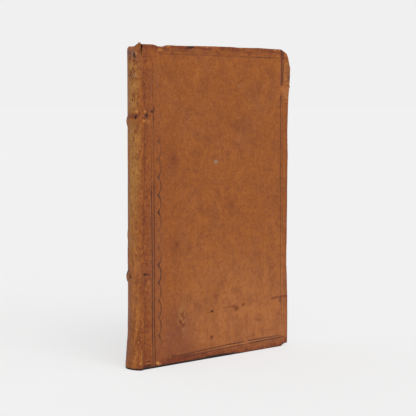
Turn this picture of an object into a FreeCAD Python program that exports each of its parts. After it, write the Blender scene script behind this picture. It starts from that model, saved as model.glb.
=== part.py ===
import FreeCAD, Part
import math
import os

# A thin old book in blind-tooled calf, standing on its tail.
# Millimetres, +Z up along the height, front cover towards -Y, spine towards -X.
# The origin is under the middle of the book's box, on the surface that it stands on.

Vector = FreeCAD.Vector

# Driving sizes of the binding
cover_height = 180.0
cover_width = 116.4          # from the joint to the fore-edge
book_thickness = 12.7        # over both covers
spine_bulge = 2.6            # how far the round back stands out past the joints
leather_thickness = 0.6
board_thickness = 2.0
board_gap = 0.4              # joint line to the board's inner edge
cover_play = 0.3             # closed cover to the leaves
outline_overrun = 20.0       # outlines start this far behind the joint and are trimmed to it

# Leaves
square_ends = 3.2            # covers past the leaves, at head and tail
square_fore = 3.5            # covers past the leaves, at the fore-edge
fore_hollow = 1.0

# Spine
lining_thickness = 0.3
band_width = 7.5
band_rise = 1.0
band_upper_from_head = 41.8
band_lower_from_tail = 51.6
headcap_drop = 0.8           # top of the leather back below the covers' head edges
headcap_round = 2.0
cap_depth = 1.8              # how far the leather caps reach in over the endbands
tail_flare = 1.2
tail_flare_height = 13.0
endband_height = 1.6
endband_width = 2.0
thread_radius = 0.35
thread_show = 0.2            # how far the kettle stitch stands out of the folds
kettle_from_end = 12.0       # kettle stitches from the ends of the leaves

# Covers
turn_in_width = 12.0
turn_in_thickness = 0.3
pastedown_thickness = 0.15
pastedown_margin = 4.0       # leather left showing round the pastedown
slip_length = 12.0
slip_width = 3.2
slip_thickness = 1.0
slip_hole_length = 2.0
plain_corner_radius = 1.5

# Blind tooling, as shallow grooves in the leather
groove_depth = 0.2
groove_width = 0.7
fillet_gap = 1.8             # between the two lines of each double fillet
border_joint = 6.4
border_fore = 3.4
border_head = 3.4
border_tail = 5.0
scallop_start = 11.4         # cusps of the scalloped roll, from the joint
scallop_bulge = 2.1
scallop_pitch = 9.8

# Wear on the front cover and at the head of the joint
corner_round_width = 6.0
corner_bulge = 2.1           # the battered corner stands out past the fore-edge
corner_bulge_drop = 12.5     # widest this far below the head edge
corner_bulge_fade = 44.0     # and back at the fore-edge line this far below it
chip_length = 4.6
chip_height = 1.9
notch_start = 8.5
notch_length = 12.0
notch_depth = 0.9
tear_width = 1.1
tear_depth = 5.0

# Sizes that follow
half_thickness = book_thickness / 2
back_radius = (half_thickness ** 2 + spine_bulge ** 2) / (2 * spine_bulge)
furthest_back = spine_bulge + max(band_rise, tail_flare)
furthest_fore = cover_width + corner_bulge
joint_x = (furthest_back - furthest_fore) / 2
back_axis_x = joint_x + back_radius - spine_bulge
leather_inner_radius = back_radius - leather_thickness
fold_radius = leather_inner_radius - lining_thickness
cap_inner_radius = back_radius - cap_depth
cover_depth = leather_thickness + board_thickness
half_leaves = half_thickness - cover_depth - pastedown_thickness - cover_play
leaves_bottom = square_ends
leaves_top = cover_height - square_ends
headcap_top = cover_height - headcap_drop
band_heights = {
    "upper": cover_height - band_upper_from_head,
    "lower": band_lower_from_tail,
}
kettle_heights = {
    "head": leaves_top - kettle_from_end,
    "tail": leaves_bottom + kettle_from_end,
}
reach = 2 * (cover_width + cover_height)


def half_space_slab(half_width, x_to):
    """Box that keeps what lies back of x_to and within half_width of the middle plane."""
    corner = Vector(x_to - reach, -half_width, -reach)
    return Part.makeBox(reach, 2 * half_width, 2 * reach, corner)


def arc(start, middle, end):
    return Part.Arc(start, middle, end).toShape()


def line(start, end):
    return Part.LineSegment(start, end).toShape()


def bend(start, towards, end):
    """Smooth edge from start to end, drawn towards a point between."""
    curve = Part.BezierCurve()
    curve.setPoles([start, towards, end])
    return curve.toShape()


def revolved(edges):
    """Solid of revolution about the upright axis of the round back."""
    axis_foot = Vector(back_axis_x, 0, 0)
    profile = Part.Face(Part.Wire(edges))
    return profile.revolve(axis_foot, Vector(0, 0, 1), 360)


def at(radius, height):
    """Point of a profile of the round back, on the spine's side of its axis."""
    return Vector(back_axis_x - radius, 0, height)


def chained(corners):
    """Straight edges through the corners, in order."""
    return [line(a, b) for a, b in zip(corners, corners[1:])]


def band_swell(radius, height):
    """Outer line of a profile where it swells over a raised band, upwards."""
    low = at(radius, height - band_width / 2)
    peak = at(radius + band_rise, height)
    high = at(radius, height + band_width / 2)
    return arc(low, peak, high)


def banded_line(radius, bottom, top):
    """Profile line at one radius, from bottom to top, swelling over both raised bands."""
    edges = []
    start = at(radius, bottom)
    for place in ("lower", "upper"):
        height = band_heights[place]
        edges.append(line(start, at(radius, height - band_width / 2)))
        edges.append(band_swell(radius, height))
        start = at(radius, height + band_width / 2)
    edges.append(line(start, at(radius, top)))
    return edges


def back_outside():
    """The leather back's outer form: round, banded, flared at the tail and rounded at the head."""
    flare = bend(
        at(back_radius + tail_flare, 0),
        at(back_radius, tail_flare_height / 2),
        at(back_radius, tail_flare_height),
    )
    shoulder = headcap_top - headcap_round
    turn = headcap_round * (1 - math.sqrt(0.5))
    cap = arc(
        at(back_radius, shoulder),
        at(back_radius - turn, headcap_top - turn),
        at(back_radius - headcap_round, headcap_top),
    )
    edges = [line(at(0, 0), at(back_radius + tail_flare, 0)), flare]
    edges += banded_line(back_radius, tail_flare_height, shoulder)
    edges += [cap]
    edges += chained([at(back_radius - headcap_round, headcap_top), at(0, headcap_top), at(0, 0)])
    return revolved(edges).common(half_space_slab(half_thickness, joint_x))


def back_hollow():
    """Room inside the leather back for lining, bands, endbands and leaves."""
    low = leaves_bottom - endband_height
    high = leaves_top + endband_height
    edges = chained([
        at(0, -reach),
        at(cap_inner_radius, -reach),
        at(cap_inner_radius, low),
        at(leather_inner_radius, low),
    ])
    edges += banded_line(leather_inner_radius, low, high)
    edges += chained([
        at(leather_inner_radius, high),
        at(cap_inner_radius, high),
        at(cap_inner_radius, reach),
        at(0, reach),
        at(0, -reach),
    ])
    inner_half = half_thickness - leather_thickness
    return revolved(edges).common(half_space_slab(inner_half, joint_x + board_gap))


def joint_tear():
    """Wedge torn out of the leather at the head of the front joint."""
    top = headcap_top + tear_depth
    corners = [
        Vector(joint_x + board_gap, -half_thickness - leather_thickness, headcap_top - tear_depth),
        Vector(joint_x - tear_width, -half_thickness - leather_thickness, top),
        Vector(joint_x + board_gap, -half_thickness - leather_thickness, top),
    ]
    face = Part.Face(Part.makePolygon(corners + corners[:1]))
    return face.extrude(Vector(0, 2 * leather_thickness + cap_depth, 0))


def spine_leather():
    return back_outside().cut(back_hollow()).cut(joint_tear())


def ring(inner, outer, bottom, top):
    """Upright ring about the back's axis."""
    edges = chained([
        at(inner, bottom),
        at(outer, bottom),
        at(outer, top),
        at(inner, top),
        at(inner, bottom),
    ])
    return revolved(edges)


def kettle_stitch(place):
    """Thread that links the folds near one end, half sunk in them."""
    centre = at(fold_radius + thread_show - thread_radius, kettle_heights[place])
    circle = Part.Circle(centre, Vector(0, 1, 0), thread_radius).toShape()
    return revolved([circle]).common(half_space_slab(half_leaves, joint_x))


def spine_lining(bottom, top):
    """Paper pasted on the folds between the raised bands."""
    panel = ring(fold_radius, leather_inner_radius, bottom, top)
    panel = panel.common(half_space_slab(half_thickness, joint_x))
    return panel.cut([kettle_stitch("head"), kettle_stitch("tail")])


def sewing_band(place):
    """Raised support that the sections are sewn round."""
    height = band_heights[place]
    low = height - band_width / 2
    high = height + band_width / 2
    edges = chained([at(leather_inner_radius, high), at(fold_radius, high), at(fold_radius, low)])
    edges += [line(at(fold_radius, low), at(leather_inner_radius, low))]
    edges += [band_swell(leather_inner_radius, height)]
    inner_half = half_thickness - leather_thickness
    return revolved(edges).common(half_space_slab(inner_half, joint_x))


def endband(bottom):
    """Sewn band on one end of the leaves, against the leather back and under its cap."""
    outer = leather_inner_radius
    strip = ring(outer - endband_width, outer, bottom, bottom + endband_height)
    return strip.common(half_space_slab(half_leaves, joint_x + endband_width))


def text_block():
    """All the leaves as one solid, with shoulders at the joints and a hollow fore-edge."""
    shoulder = math.sqrt(fold_radius ** 2 - (back_axis_x - joint_x) ** 2)
    fore_x = joint_x + cover_width - square_fore
    z = leaves_bottom
    edges = [
        line(Vector(joint_x, half_leaves, z), Vector(fore_x, half_leaves, z)),
        arc(
            Vector(fore_x, half_leaves, z),
            Vector(fore_x - fore_hollow, 0, z),
            Vector(fore_x, -half_leaves, z),
        ),
        line(Vector(fore_x, -half_leaves, z), Vector(joint_x, -half_leaves, z)),
        line(Vector(joint_x, -half_leaves, z), Vector(joint_x, -shoulder, z)),
        arc(
            Vector(joint_x, -shoulder, z),
            Vector(back_axis_x - fold_radius, 0, z),
            Vector(joint_x, shoulder, z),
        ),
        line(Vector(joint_x, shoulder, z), Vector(joint_x, half_leaves, z)),
    ]
    block = Part.Face(Part.Wire(edges)).extrude(Vector(0, 0, leaves_top - leaves_bottom))
    return block.cut([kettle_stitch("head"), kettle_stitch("tail")])


def on_cover(across, up):
    """Point on the front cover's outer plane: across from the joint, up from the tail."""
    return Vector(joint_x + across, -half_thickness, up)


def worn_outline(inset):
    """Front cover's edge, drawn in by inset: chipped tail, battered head corner, dip in the head edge."""
    start = -outline_overrun
    fore = cover_width - inset
    head = cover_height - inset
    chip_from = on_cover(cover_width - chip_length, inset)
    chip_to = on_cover(fore, chip_height + inset)
    fade = on_cover(fore, cover_height - corner_bulge_fade)
    swell_foot = on_cover(fore + corner_bulge, cover_height - 2 * corner_bulge_drop)
    swell = on_cover(fore + corner_bulge, cover_height - corner_bulge_drop)
    round_end = on_cover(cover_width - corner_round_width, head)
    dip_far = on_cover(notch_start + notch_length, head)
    dip_low = on_cover(notch_start + notch_length / 2, head - notch_depth)
    dip_near = on_cover(notch_start, head)
    return [
        line(on_cover(start, inset), chip_from),
        line(chip_from, chip_to),
        line(chip_to, fade),
        bend(fade, swell_foot, swell),
        bend(swell, on_cover(fore, head), round_end),
        line(round_end, dip_far),
        arc(dip_far, dip_low, dip_near),
        line(dip_near, on_cover(start, head)),
        line(on_cover(start, head), on_cover(start, inset)),
    ]


def plain_outline(inset):
    """Back cover's edge, drawn in by inset: straight, with lightly rounded corners."""
    start = -outline_overrun
    fore = cover_width - inset
    head = cover_height - inset
    radius = plain_corner_radius - inset
    turn = radius * (1 - math.sqrt(0.5))
    low = [on_cover(fore - radius, inset), on_cover(fore - turn, inset + turn), on_cover(fore, inset + radius)]
    high = [on_cover(fore, head - radius), on_cover(fore - turn, head - turn), on_cover(fore - radius, head)]
    return [
        line(on_cover(start, inset), low[0]),
        arc(*low),
        line(low[-1], high[0]),
        arc(*high),
        line(high[-1], on_cover(start, head)),
        line(on_cover(start, head), on_cover(start, inset)),
    ]


def cover_slab(outline, inset, across_from, depth_from, depth_to):
    """Slab inside a cover's edge, drawn in by inset, between two depths below its outer face."""
    face = Part.Face(Part.Wire(outline(inset)))
    face.translate(Vector(0, depth_from, 0))
    slab = face.extrude(Vector(0, depth_to - depth_from, 0))
    keep = Part.makeBox(reach, reach, 2 * reach, Vector(joint_x + across_from, -reach / 2, -reach / 2))
    return slab.common(keep)


def cover_box(across, up, depth):
    """Box on the front cover, from (low, high) pairs across, up and below the outer face."""
    corner = Vector(joint_x + across[0], depth[0] - half_thickness, up[0])
    return Part.makeBox(across[1] - across[0], depth[1] - depth[0], up[1] - up[0], corner)


def board_form(outline, across_from):
    """The board and the room for it: stepped down under the leather turn-ins."""
    step = cover_depth - turn_in_thickness
    full = cover_slab(outline, leather_thickness, across_from, leather_thickness, step)
    raised = cover_box(
        (across_from, cover_width - turn_in_width),
        (turn_in_width, cover_height - turn_in_width),
        (step, cover_depth),
    )
    return full.fuse(raised).removeSplitter()


def slip(place):
    """End of a sewing support, laced along the board's outside and through it."""
    height = band_heights[place]
    up = (height - slip_width / 2, height + slip_width / 2)
    outside = (leather_thickness, leather_thickness + slip_thickness)
    along = cover_box((0, slip_length), up, outside)
    hole = (slip_length - slip_hole_length, slip_length)
    through = cover_box(hole, up, (leather_thickness, cover_depth))
    return along.fuse(through).removeSplitter()


def board(outline):
    return board_form(outline, board_gap).cut([slip("upper"), slip("lower")])


def fillet_grooves():
    """Double fillets along the four sides, running out over the edges."""
    depth = (-groove_depth, groove_depth)
    half = groove_width / 2
    grooves = []
    for step in (0, fillet_gap):
        for across in (border_joint + step, cover_width - border_fore - step):
            grooves.append(cover_box((across - half, across + half), (-half, cover_height + half), depth))
        for up in (border_tail + step, cover_height - border_head - step):
            far = cover_width + corner_bulge + half
            grooves.append(cover_box((-half, far), (up - half, up + half), depth))
    return grooves


def scallop_groove(foot):
    """One arc of the scalloped roll, from its lower cusp upwards."""
    radius = ((scallop_pitch / 2) ** 2 + scallop_bulge ** 2) / (2 * scallop_bulge)
    centre_across = scallop_start + scallop_bulge - radius
    centre_up = foot + scallop_pitch / 2
    sweep = math.asin(scallop_pitch / 2 / radius)

    def point(r, angle):
        across = centre_across + r * math.cos(angle)
        return on_cover(across, centre_up + r * math.sin(angle)) - Vector(0, groove_depth, 0)

    inner = radius - groove_width / 2
    outer = radius + groove_width / 2
    edges = [
        arc(point(outer, -sweep), point(outer, 0), point(outer, sweep)),
        line(point(outer, sweep), point(inner, sweep)),
        arc(point(inner, sweep), point(inner, 0), point(inner, -sweep)),
        line(point(inner, -sweep), point(outer, -sweep)),
    ]
    return Part.Face(Part.Wire(edges)).extrude(Vector(0, 2 * groove_depth, 0))


def scallop_grooves():
    """The scalloped roll between the tail and head fillets, beside the joint."""
    bottom = border_tail + fillet_gap + groove_width
    top = cover_height - border_head - fillet_gap - groove_width
    count = int((top - bottom) / scallop_pitch)
    first = (bottom + top - count * scallop_pitch) / 2
    return [scallop_groove(first + index * scallop_pitch) for index in range(count)]


def cover_leather(outline, grooves):
    """Leather over a board: outer face, the three edges and the turn-ins."""
    whole = cover_slab(outline, 0, 0, 0, cover_depth)
    return whole.cut(board_form(outline, -board_gap)).cut(grooves)


def pastedown():
    """Endpaper on the board's inner face, over the turn-ins."""
    edge = leather_thickness + pastedown_margin
    return cover_box(
        (board_gap, cover_width - edge),
        (edge, cover_height - edge),
        (cover_depth, cover_depth + pastedown_thickness),
    )


def back(shape):
    """The same piece on the back cover."""
    return shape.mirror(Vector(0, 0, 0), Vector(0, 1, 0))


def book():
    """Every piece by node name."""
    half_band = band_width / 2
    upper = band_heights["upper"]
    lower = band_heights["lower"]
    return {
        "text_block": text_block(),
        "spine_leather": spine_leather(),
        "spine_lining_head": spine_lining(upper + half_band, leaves_top),
        "spine_lining_middle": spine_lining(lower + half_band, upper - half_band),
        "spine_lining_tail": spine_lining(leaves_bottom, lower - half_band),
        "sewing_band_upper": sewing_band("upper"),
        "sewing_band_lower": sewing_band("lower"),
        "headband": endband(leaves_top),
        "tailband": endband(leaves_bottom - endband_height),
        "kettle_stitch_head": kettle_stitch("head"),
        "kettle_stitch_tail": kettle_stitch("tail"),
        "front_board": board(worn_outline),
        "front_leather": cover_leather(worn_outline, fillet_grooves() + scallop_grooves()),
        "front_pastedown": pastedown(),
        "front_slip_upper": slip("upper"),
        "front_slip_lower": slip("lower"),
        "back_board": back(board(plain_outline)),
        "back_leather": back(cover_leather(plain_outline, fillet_grooves())),
        "back_pastedown": back(pastedown()),
        "back_slip_upper": back(slip("upper")),
        "back_slip_lower": back(slip("lower")),
    }


def main():
    os.makedirs("parts", exist_ok=True)
    for node, shape in book().items():
        shape.exportStep("parts/" + node + ".step")
        box = shape.optimalBoundingBox()
        print(
            node,
            "solids", len(shape.Solids),
            "valid", shape.isValid(),
            "mm3", round(shape.Volume, 1),
            "x", round(box.XMin, 2), round(box.XMax, 2),
            "y", round(box.YMin, 2), round(box.YMax, 2),
            "z", round(box.ZMin, 2), round(box.ZMax, 2),
        )


main()
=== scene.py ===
import math

import bmesh
import bpy
import numpy as np
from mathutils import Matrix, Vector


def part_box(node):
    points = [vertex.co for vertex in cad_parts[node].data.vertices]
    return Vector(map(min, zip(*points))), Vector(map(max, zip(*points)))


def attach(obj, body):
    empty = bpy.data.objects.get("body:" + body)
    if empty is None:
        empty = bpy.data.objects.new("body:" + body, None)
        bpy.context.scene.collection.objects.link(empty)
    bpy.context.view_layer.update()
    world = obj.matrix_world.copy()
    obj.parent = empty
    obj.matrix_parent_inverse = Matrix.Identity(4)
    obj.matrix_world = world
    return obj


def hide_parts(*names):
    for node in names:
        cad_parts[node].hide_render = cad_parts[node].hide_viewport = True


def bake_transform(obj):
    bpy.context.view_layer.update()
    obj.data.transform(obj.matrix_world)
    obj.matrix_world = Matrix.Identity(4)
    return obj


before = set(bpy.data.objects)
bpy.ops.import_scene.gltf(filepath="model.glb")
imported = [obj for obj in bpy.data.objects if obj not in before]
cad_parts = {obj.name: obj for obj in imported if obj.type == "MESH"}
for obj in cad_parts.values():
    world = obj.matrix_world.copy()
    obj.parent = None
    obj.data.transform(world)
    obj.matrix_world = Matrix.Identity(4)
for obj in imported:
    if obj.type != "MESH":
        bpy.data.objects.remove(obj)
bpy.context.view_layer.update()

bl_info = {
    "name": "Antique leather book",
    "version": (1, 0, 0),
    "blender": (4, 5, 0),
    "location": "3D View > Sidebar > Book",
    "description": "Dresses the packed book: tooled calf, leaves, endpapers and endbands",
    "category": "Object",
}

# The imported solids, in millimetres. Lengths on a cover run across from the joint and up from its
# tail.
MM = 1000.0


def lowest(node, axis):
    """Where a node's box begins along x, y or z, in mm."""
    return getattr(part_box(node)[0], axis) * MM


def highest(node, axis):
    """Where a node's box ends along x, y or z, in mm."""
    return getattr(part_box(node)[1], axis) * MM


JOINT_X = lowest("back_leather", "x")
COVER_WIDTH = highest("back_leather", "x") - JOINT_X
COVER_HEIGHT = highest("back_leather", "z")
HALF = highest("back_leather", "y")
BOARD_GAP = lowest("back_board", "x") - JOINT_X
LEATHER = HALF - highest("back_board", "y")
COVER_DEPTH = HALF - highest("back_pastedown", "y")
PASTEDOWN = highest("back_pastedown", "y") - lowest("back_pastedown", "y")
PASTEDOWN_EDGE = lowest("back_pastedown", "z")
PASTEDOWN_WIDTH = highest("back_pastedown", "x") - JOINT_X
LEAVES_LOW = lowest("text_block", "z")
LEAVES_HIGH = highest("text_block", "z")
LEAVES_FORE = highest("text_block", "x") - JOINT_X
LEAVES_BACK = lowest("text_block", "x") - JOINT_X
LEAVES_SHOULDER = highest("text_block", "y")
LEAVES_HALF = highest("headband", "y")
ENDBAND = highest("headband", "z") - lowest("headband", "z")
LINING_BACK = lowest("spine_lining_middle", "x") - JOINT_X
HEADCAP = highest("spine_leather", "z")
BAND_UPPER = (lowest("front_slip_upper", "z") + highest("front_slip_upper", "z")) / 2
BAND_LOWER = (lowest("front_slip_lower", "z") + highest("front_slip_lower", "z")) / 2
BAND_WIDTH = highest("sewing_band_upper", "z") - lowest("sewing_band_upper", "z")
SLIP_LENGTH = highest("front_slip_upper", "x") - JOINT_X

# The round back: its leather is one arc from joint to joint.
SPINE_BULGE = LEATHER - LINING_BACK
BACK_RADIUS = (HALF ** 2 + SPINE_BULGE ** 2) / (2 * SPINE_BULGE)
BACK_AXIS = BACK_RADIUS - SPINE_BULGE
BACK_SWEEP = math.asin(HALF / BACK_RADIUS)
# At the joints the leather bends round softly: half the angle between cover and back, and its reach
JOINT_BEND = (math.pi / 2 - BACK_SWEEP) / 2
JOINT_REACH = 1.7
# A cover stands this hair's breadth off the joint line, so that it clears the back as it turns
JOINT_CLEARANCE = 0.04
# The caps of the back's leather: how far they reach in, and how high the head's is rounded
CAP_DEPTH = 1.8
CAP_ROUND = 2.0
# The split beside the scrap at the head ends this high up
TEAR_FOOT = HEADCAP - 5.0
# The shift of a worn edge fades out this far in from it
EDGE_FADE = 3.2
# The frayed stretch of the front cover's fore-edge
FRAY_MIDDLE = 163.5
# Mending leather at the fore-edge: a wedge whose slanting foot starts at its inner side
WEDGE_WIDTH = 5.8
WEDGE_FOOT = 155.6
WEDGE_TOP = 159.5
WEDGE_SLOPE = 1.6
# A crease from a knock: where it starts, across and up, and its slope
CREASE_START = (62.0, 28.4)
CREASE_SLOPE = 0.045

# Light: soft from all round, and a key light whose spread, tilt and turn are in degrees
WORLD_STRENGTH = 0.6
KEY_STRENGTH = 1.6
KEY_SPREAD = 50
KEY_TILT = 48
KEY_TURN = -20
# How much of the floor glows to the camera, and how far it reaches, in metres
FLOOR_GLOW = 0.68
FLOOR_REACH = 30.0

# Where the photograph was taken from: its focal length and frame are in pixels, and its place is
# in millimetres from the foot of the joint. It looks a little down, at an angle to the cover.
PHOTO_SIZE = 416
PHOTO_FOCAL = 1400.0
CAMERA_FROM_JOINT = (-506.7, -586.2, 148.6)
CAMERA_TURN = -43.82
CAMERA_DIP = 4.32


def linear(hex_colour):
    """sRGB hex to linear, with an alpha of 1."""
    parts = [int(hex_colour[i:i + 2], 16) / 255 for i in (1, 3, 5)]
    lit = [c / 12.92 if c <= 0.04045 else ((c + 0.055) / 1.055) ** 2.4 for c in parts]
    return (*lit, 1.0)


def millimetres(name, description, default):
    """A length in the panel."""
    return bpy.props.FloatProperty(name=name, description=description, default=default, min=0.0)


def colour(name, description, default):
    """A colour in the panel, from sRGB hex."""
    return bpy.props.FloatVectorProperty(
        name=name, description=description, subtype="COLOR", size=4, default=linear(default)
    )


class BookSizes(bpy.types.PropertyGroup):
    """Sizes in millimetres that the solids leave to the looks."""

    tool_depth: millimetres("Tool depth", "How deep the blind tooling is pressed", 0.24)
    tool_width: millimetres("Tool width", "Width of one fillet line", 0.7)
    fillet_gap: millimetres("Fillet gap", "Between the two lines of a double fillet", 1.6)
    border_joint: millimetres("Joint border", "First fillet line from the joint", 7.0)
    border_fore: millimetres("Fore-edge border", "First fillet line from the fore-edge", 4.3)
    border_head: millimetres("Head border", "First fillet line from the head", 3.2)
    border_tail: millimetres("Tail border", "First fillet line from the tail", 5.2)
    scallop_start: millimetres("Scallop start", "Cusps of the scalloped roll from the joint", 11.4)
    scallop_bulge: millimetres("Scallop bulge", "Height of one scallop", 2.1)
    scallop_pitch: millimetres("Scallop pitch", "Length of one scallop", 9.87)
    scallop_first: millimetres("First cusp", "First cusp of the roll above the tail", 8.4)
    edge_round: millimetres("Edge rounding", "Radius of the leather at a board's edge", 0.5)
    turn_in: millimetres("Turn-in", "Leather turned over onto a board's inner face", 12.0)
    leaf: millimetres("Leaf", "Thickness of one leaf of rag paper", 0.118)
    grain: millimetres("Grain", "Pore spacing of calf, drawn coarse enough to show", 0.9)


class BookColours(bpy.types.PropertyGroup):
    """Base colours of the book's materials."""

    calf: colour("Calf", "Covers, middle tone", "#924f1b")
    calf_light: colour("Rubbed calf", "Covers, rubbed tone", "#b06b2c")
    calf_deep: colour("Deep calf", "Covers, saturated tone", "#743a17")
    calf_faded: colour("Faded calf", "Covers, where light has bleached them", "#ad6c3d")
    calf_mauve: colour("Dull calf", "Covers, where the polish has gone", "#86503a")
    back_tan: colour("Back tan", "Sunned leather of the back", "#a97a3e")
    # Stained calf also paints the shade along the upper band
    calf_stained: colour("Stained calf", "Old damp and handling", "#692c16")
    # Bare calf also paints highlights just above the upper band
    calf_rubbed: colour("Bare calf", "Surface rubbed away", "#bf7b3c")
    flake_light: colour("Pale flakes", "Fine flakes, pale side", "#b87a38")
    flake_deep: colour("Dark flakes", "Fine flakes, dark side", "#56281a")
    bloom: colour("Bloom", "Grey bloom on bare leather", "#8f8574")
    tooled: colour("Tooled line", "Blind-tooled lines", "#3c211b")
    # The dirt colour also paints shadow: under the tail edge, in the split at the head and inside
    # the back
    dirt: colour("Dirt", "Stains and cracks", "#28150f")
    paper: colour("Rag paper", "Leaves", "#d9c7a2")
    # Edge dirt also paints the shade in the grooves between the leaves
    paper_dirt: colour("Edge dirt", "Dust on the leaves' edges", "#b28c5e")
    endpaper: colour("Endpaper", "Pastedowns and flyleaves", "#d8c8a6")
    paper_cloud: colour("Clouded paper", "Darker clouds in the paper", "#c4ab7f")
    paper_fibre: colour("Paper fibre", "Fibres of the rags", "#b99d70")
    foxing: colour("Foxing", "Small rusty spots", "#a9743f")
    browned: colour("Browned paper", "Paper browned by the leather", "#8d6338")
    glued: colour("Glued paper", "Paper soaked with old glue", "#6b4a2c")
    board: colour("Pasteboard", "Boards under the leather", "#9a8460")
    board_light: colour("Pale board", "Pale layers of the board", "#b7a37c")
    board_deep: colour("Dark board", "Dark clouds of the board", "#7c6545")
    cord: colour("Hemp cord", "Sewing supports", "#a58a60")
    fibre_deep: colour("Between strands", "Twisted fibre in the hollows", "#6f5536")
    fibre_light: colour("Loose fibre", "Twisted fibre, bleached hairs", "#c9b48a")
    floor: colour("Floor", "Pale floor and backdrop as seen", "#f0f0f0")
    floor_matt: colour("Matt floor", "Pale floor as it takes light and shadow", "#fafafa")


# Numbers shared by several pieces


def smooth_step(t):
    """0 below 0, 1 above 1 and an S-curve between."""
    t = np.clip(t, 0.0, 1.0)
    return t * t * (3.0 - 2.0 * t)


def soft_spot(x, y, centre, size):
    """A round or oval hump of height 1 at centre: exp of minus the squared distance in sizes."""
    return np.exp(-(((x - centre[0]) / size[0]) ** 2) - ((y - centre[1]) / size[1]) ** 2)


def spots(x, y, marks):
    """Sum of soft spots from rows of five numbers: centre (2), size (2) and strength."""
    total = np.zeros(np.broadcast(x, y).shape)
    for *place, strength in marks:
        total += strength * soft_spot(x, y, place[:2], place[2:])
    return total


def soft_line(distance, half_width):
    """A soft line: exp of minus the squared distance in half widths."""
    return np.exp(-((distance / half_width) ** 2))


def follow(place, knots):
    """Value at a place: straight lines between (place, value) knots."""
    return np.interp(place, *np.array(knots).T)


def ripple(x, y, size, seed, octaves=3):
    """Smooth seeded noise from -1 to 1: random values on a lattice of size, joined by S-curves,
    with each further octave half as large and half as strong."""
    x, y = np.broadcast_arrays(np.asarray(x, float), np.asarray(y, float))
    total = np.zeros(x.shape)
    weight = 1.0
    for octave in range(octaves):
        table = np.random.default_rng(seed + octave).uniform(-1, 1, (64, 64))
        u = x / size * 2 ** octave
        v = y / size * 2 ** octave
        i = np.floor(u).astype(int)
        j = np.floor(v).astype(int)
        f = smooth_step(u - i)
        g = smooth_step(v - j)
        low = table[i % 64, j % 64] * (1 - f) + table[(i + 1) % 64, j % 64] * f
        high = table[i % 64, (j + 1) % 64] * (1 - f) + table[(i + 1) % 64, (j + 1) % 64] * f
        total += weight * (low * (1 - g) + high * g)
        weight /= 2
    return total / (2 - 2 ** (1 - octaves))


def spaced(low, high, step, fine=(), fine_step=0.2, reach=0.8):
    """Grid lines from low to high, step apart or less, and fine_step apart near the fine places."""
    lines = [np.linspace(low, high, int(round((high - low) / step)) + 1)]
    for place in fine:
        near = np.arange(place - reach, place + reach + fine_step / 2, fine_step)
        below = lines[0] < near[0] - fine_step / 2
        lines[0] = lines[0][below | (lines[0] > near[-1] + fine_step / 2)]
        lines.append(near)
    merged = np.unique(np.round(np.concatenate(lines), 4))
    merged = merged[(merged > low + fine_step / 2) & (merged < high - fine_step / 2)]
    return np.concatenate([[low], merged, [high]])


# Meshes


def make_piece(name, points, faces, marks=None, sharp=45.0, bend=None):
    """A closed mesh at the origin from points in millimetres, with float marks on its points. A
    bend is (points, points whose normals they start from, angles that these turn by)."""
    mesh = bpy.data.meshes.new(name)
    mesh.from_pydata((points / MM).tolist(), [], faces)
    for label, values in (marks or {}).items():
        layer = mesh.attributes.new(label, "FLOAT", "POINT")
        layer.data.foreach_set("value", np.clip(values, 0, 1).astype(np.float32).ravel())
    made = bmesh.new()
    made.from_mesh(mesh)
    bmesh.ops.recalc_face_normals(made, faces=made.faces)
    made.to_mesh(mesh)
    made.free()
    mesh.shade_smooth()
    mesh.set_sharp_from_angle(angle=math.radians(sharp))
    if bend:
        bend_normals(mesh, *bend)
    piece = bpy.data.objects.new(name, mesh)
    bpy.context.scene.collection.objects.link(piece)
    return piece


def bend_normals(mesh, numbers, sources, angles):
    """Turn the shading normals of some points about the upright axis, so that two pieces that meet
    at a joint look like one soft bend."""
    normals = np.empty(len(mesh.vertices) * 3, np.float32)
    mesh.vertex_normals.foreach_get("vector", normals)
    x, y, z = normals.reshape(-1, 3)[sources].T
    turned = np.zeros((len(mesh.vertices), 3))
    turned[numbers, 0] = x * np.cos(angles) - y * np.sin(angles)
    turned[numbers, 1] = x * np.sin(angles) + y * np.cos(angles)
    turned[numbers, 2] = z
    mesh.normals_split_custom_set_from_vertices(turned.tolist())


def quads(index):
    """Faces between neighbouring rows and columns of a grid of point numbers."""
    a, b = index[:-1, :-1], index[:-1, 1:]
    c, d = index[1:, 1:], index[1:, :-1]
    return np.stack([a, b, c, d], -1).reshape(-1, 4)


def closed_box(counts, place):
    """Skin of a box of cells bent by a function: place takes the shares (u, v, w) of the way
    along the three sides, from 0 to 1, and gives x, y and z."""
    nu, nv, nw = counts
    number = np.arange((nu + 1) * (nv + 1) * (nw + 1)).reshape(nu + 1, nv + 1, nw + 1)
    sides = [
        quads(number[0]), quads(number[-1]),
        quads(number[:, 0]), quads(number[:, -1]),
        quads(number[:, :, 0]), quads(number[:, :, -1]),
    ]
    faces = np.concatenate(sides)
    used, compact = np.unique(faces, return_inverse=True)
    i, j, k = np.unravel_index(used, number.shape)
    u, v, w = i / nu, j / nv, k / nw
    return np.stack(place(u, v, w), -1), compact.reshape(faces.shape).tolist(), (u, v, w)


# Materials


def add_node(tree, kind, settings=None, links=None):
    """One node of a kind, with its settings and links: a link is from a socket or holds a value."""
    node = tree.nodes.new(kind)
    for key, value in (settings or {}).items():
        setattr(node, key, value)
    for key, value in (links or {}).items():
        socket = node.inputs[key]
        if isinstance(value, bpy.types.NodeSocket):
            tree.links.new(value, socket)
        else:
            socket.default_value = value
    return node


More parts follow.
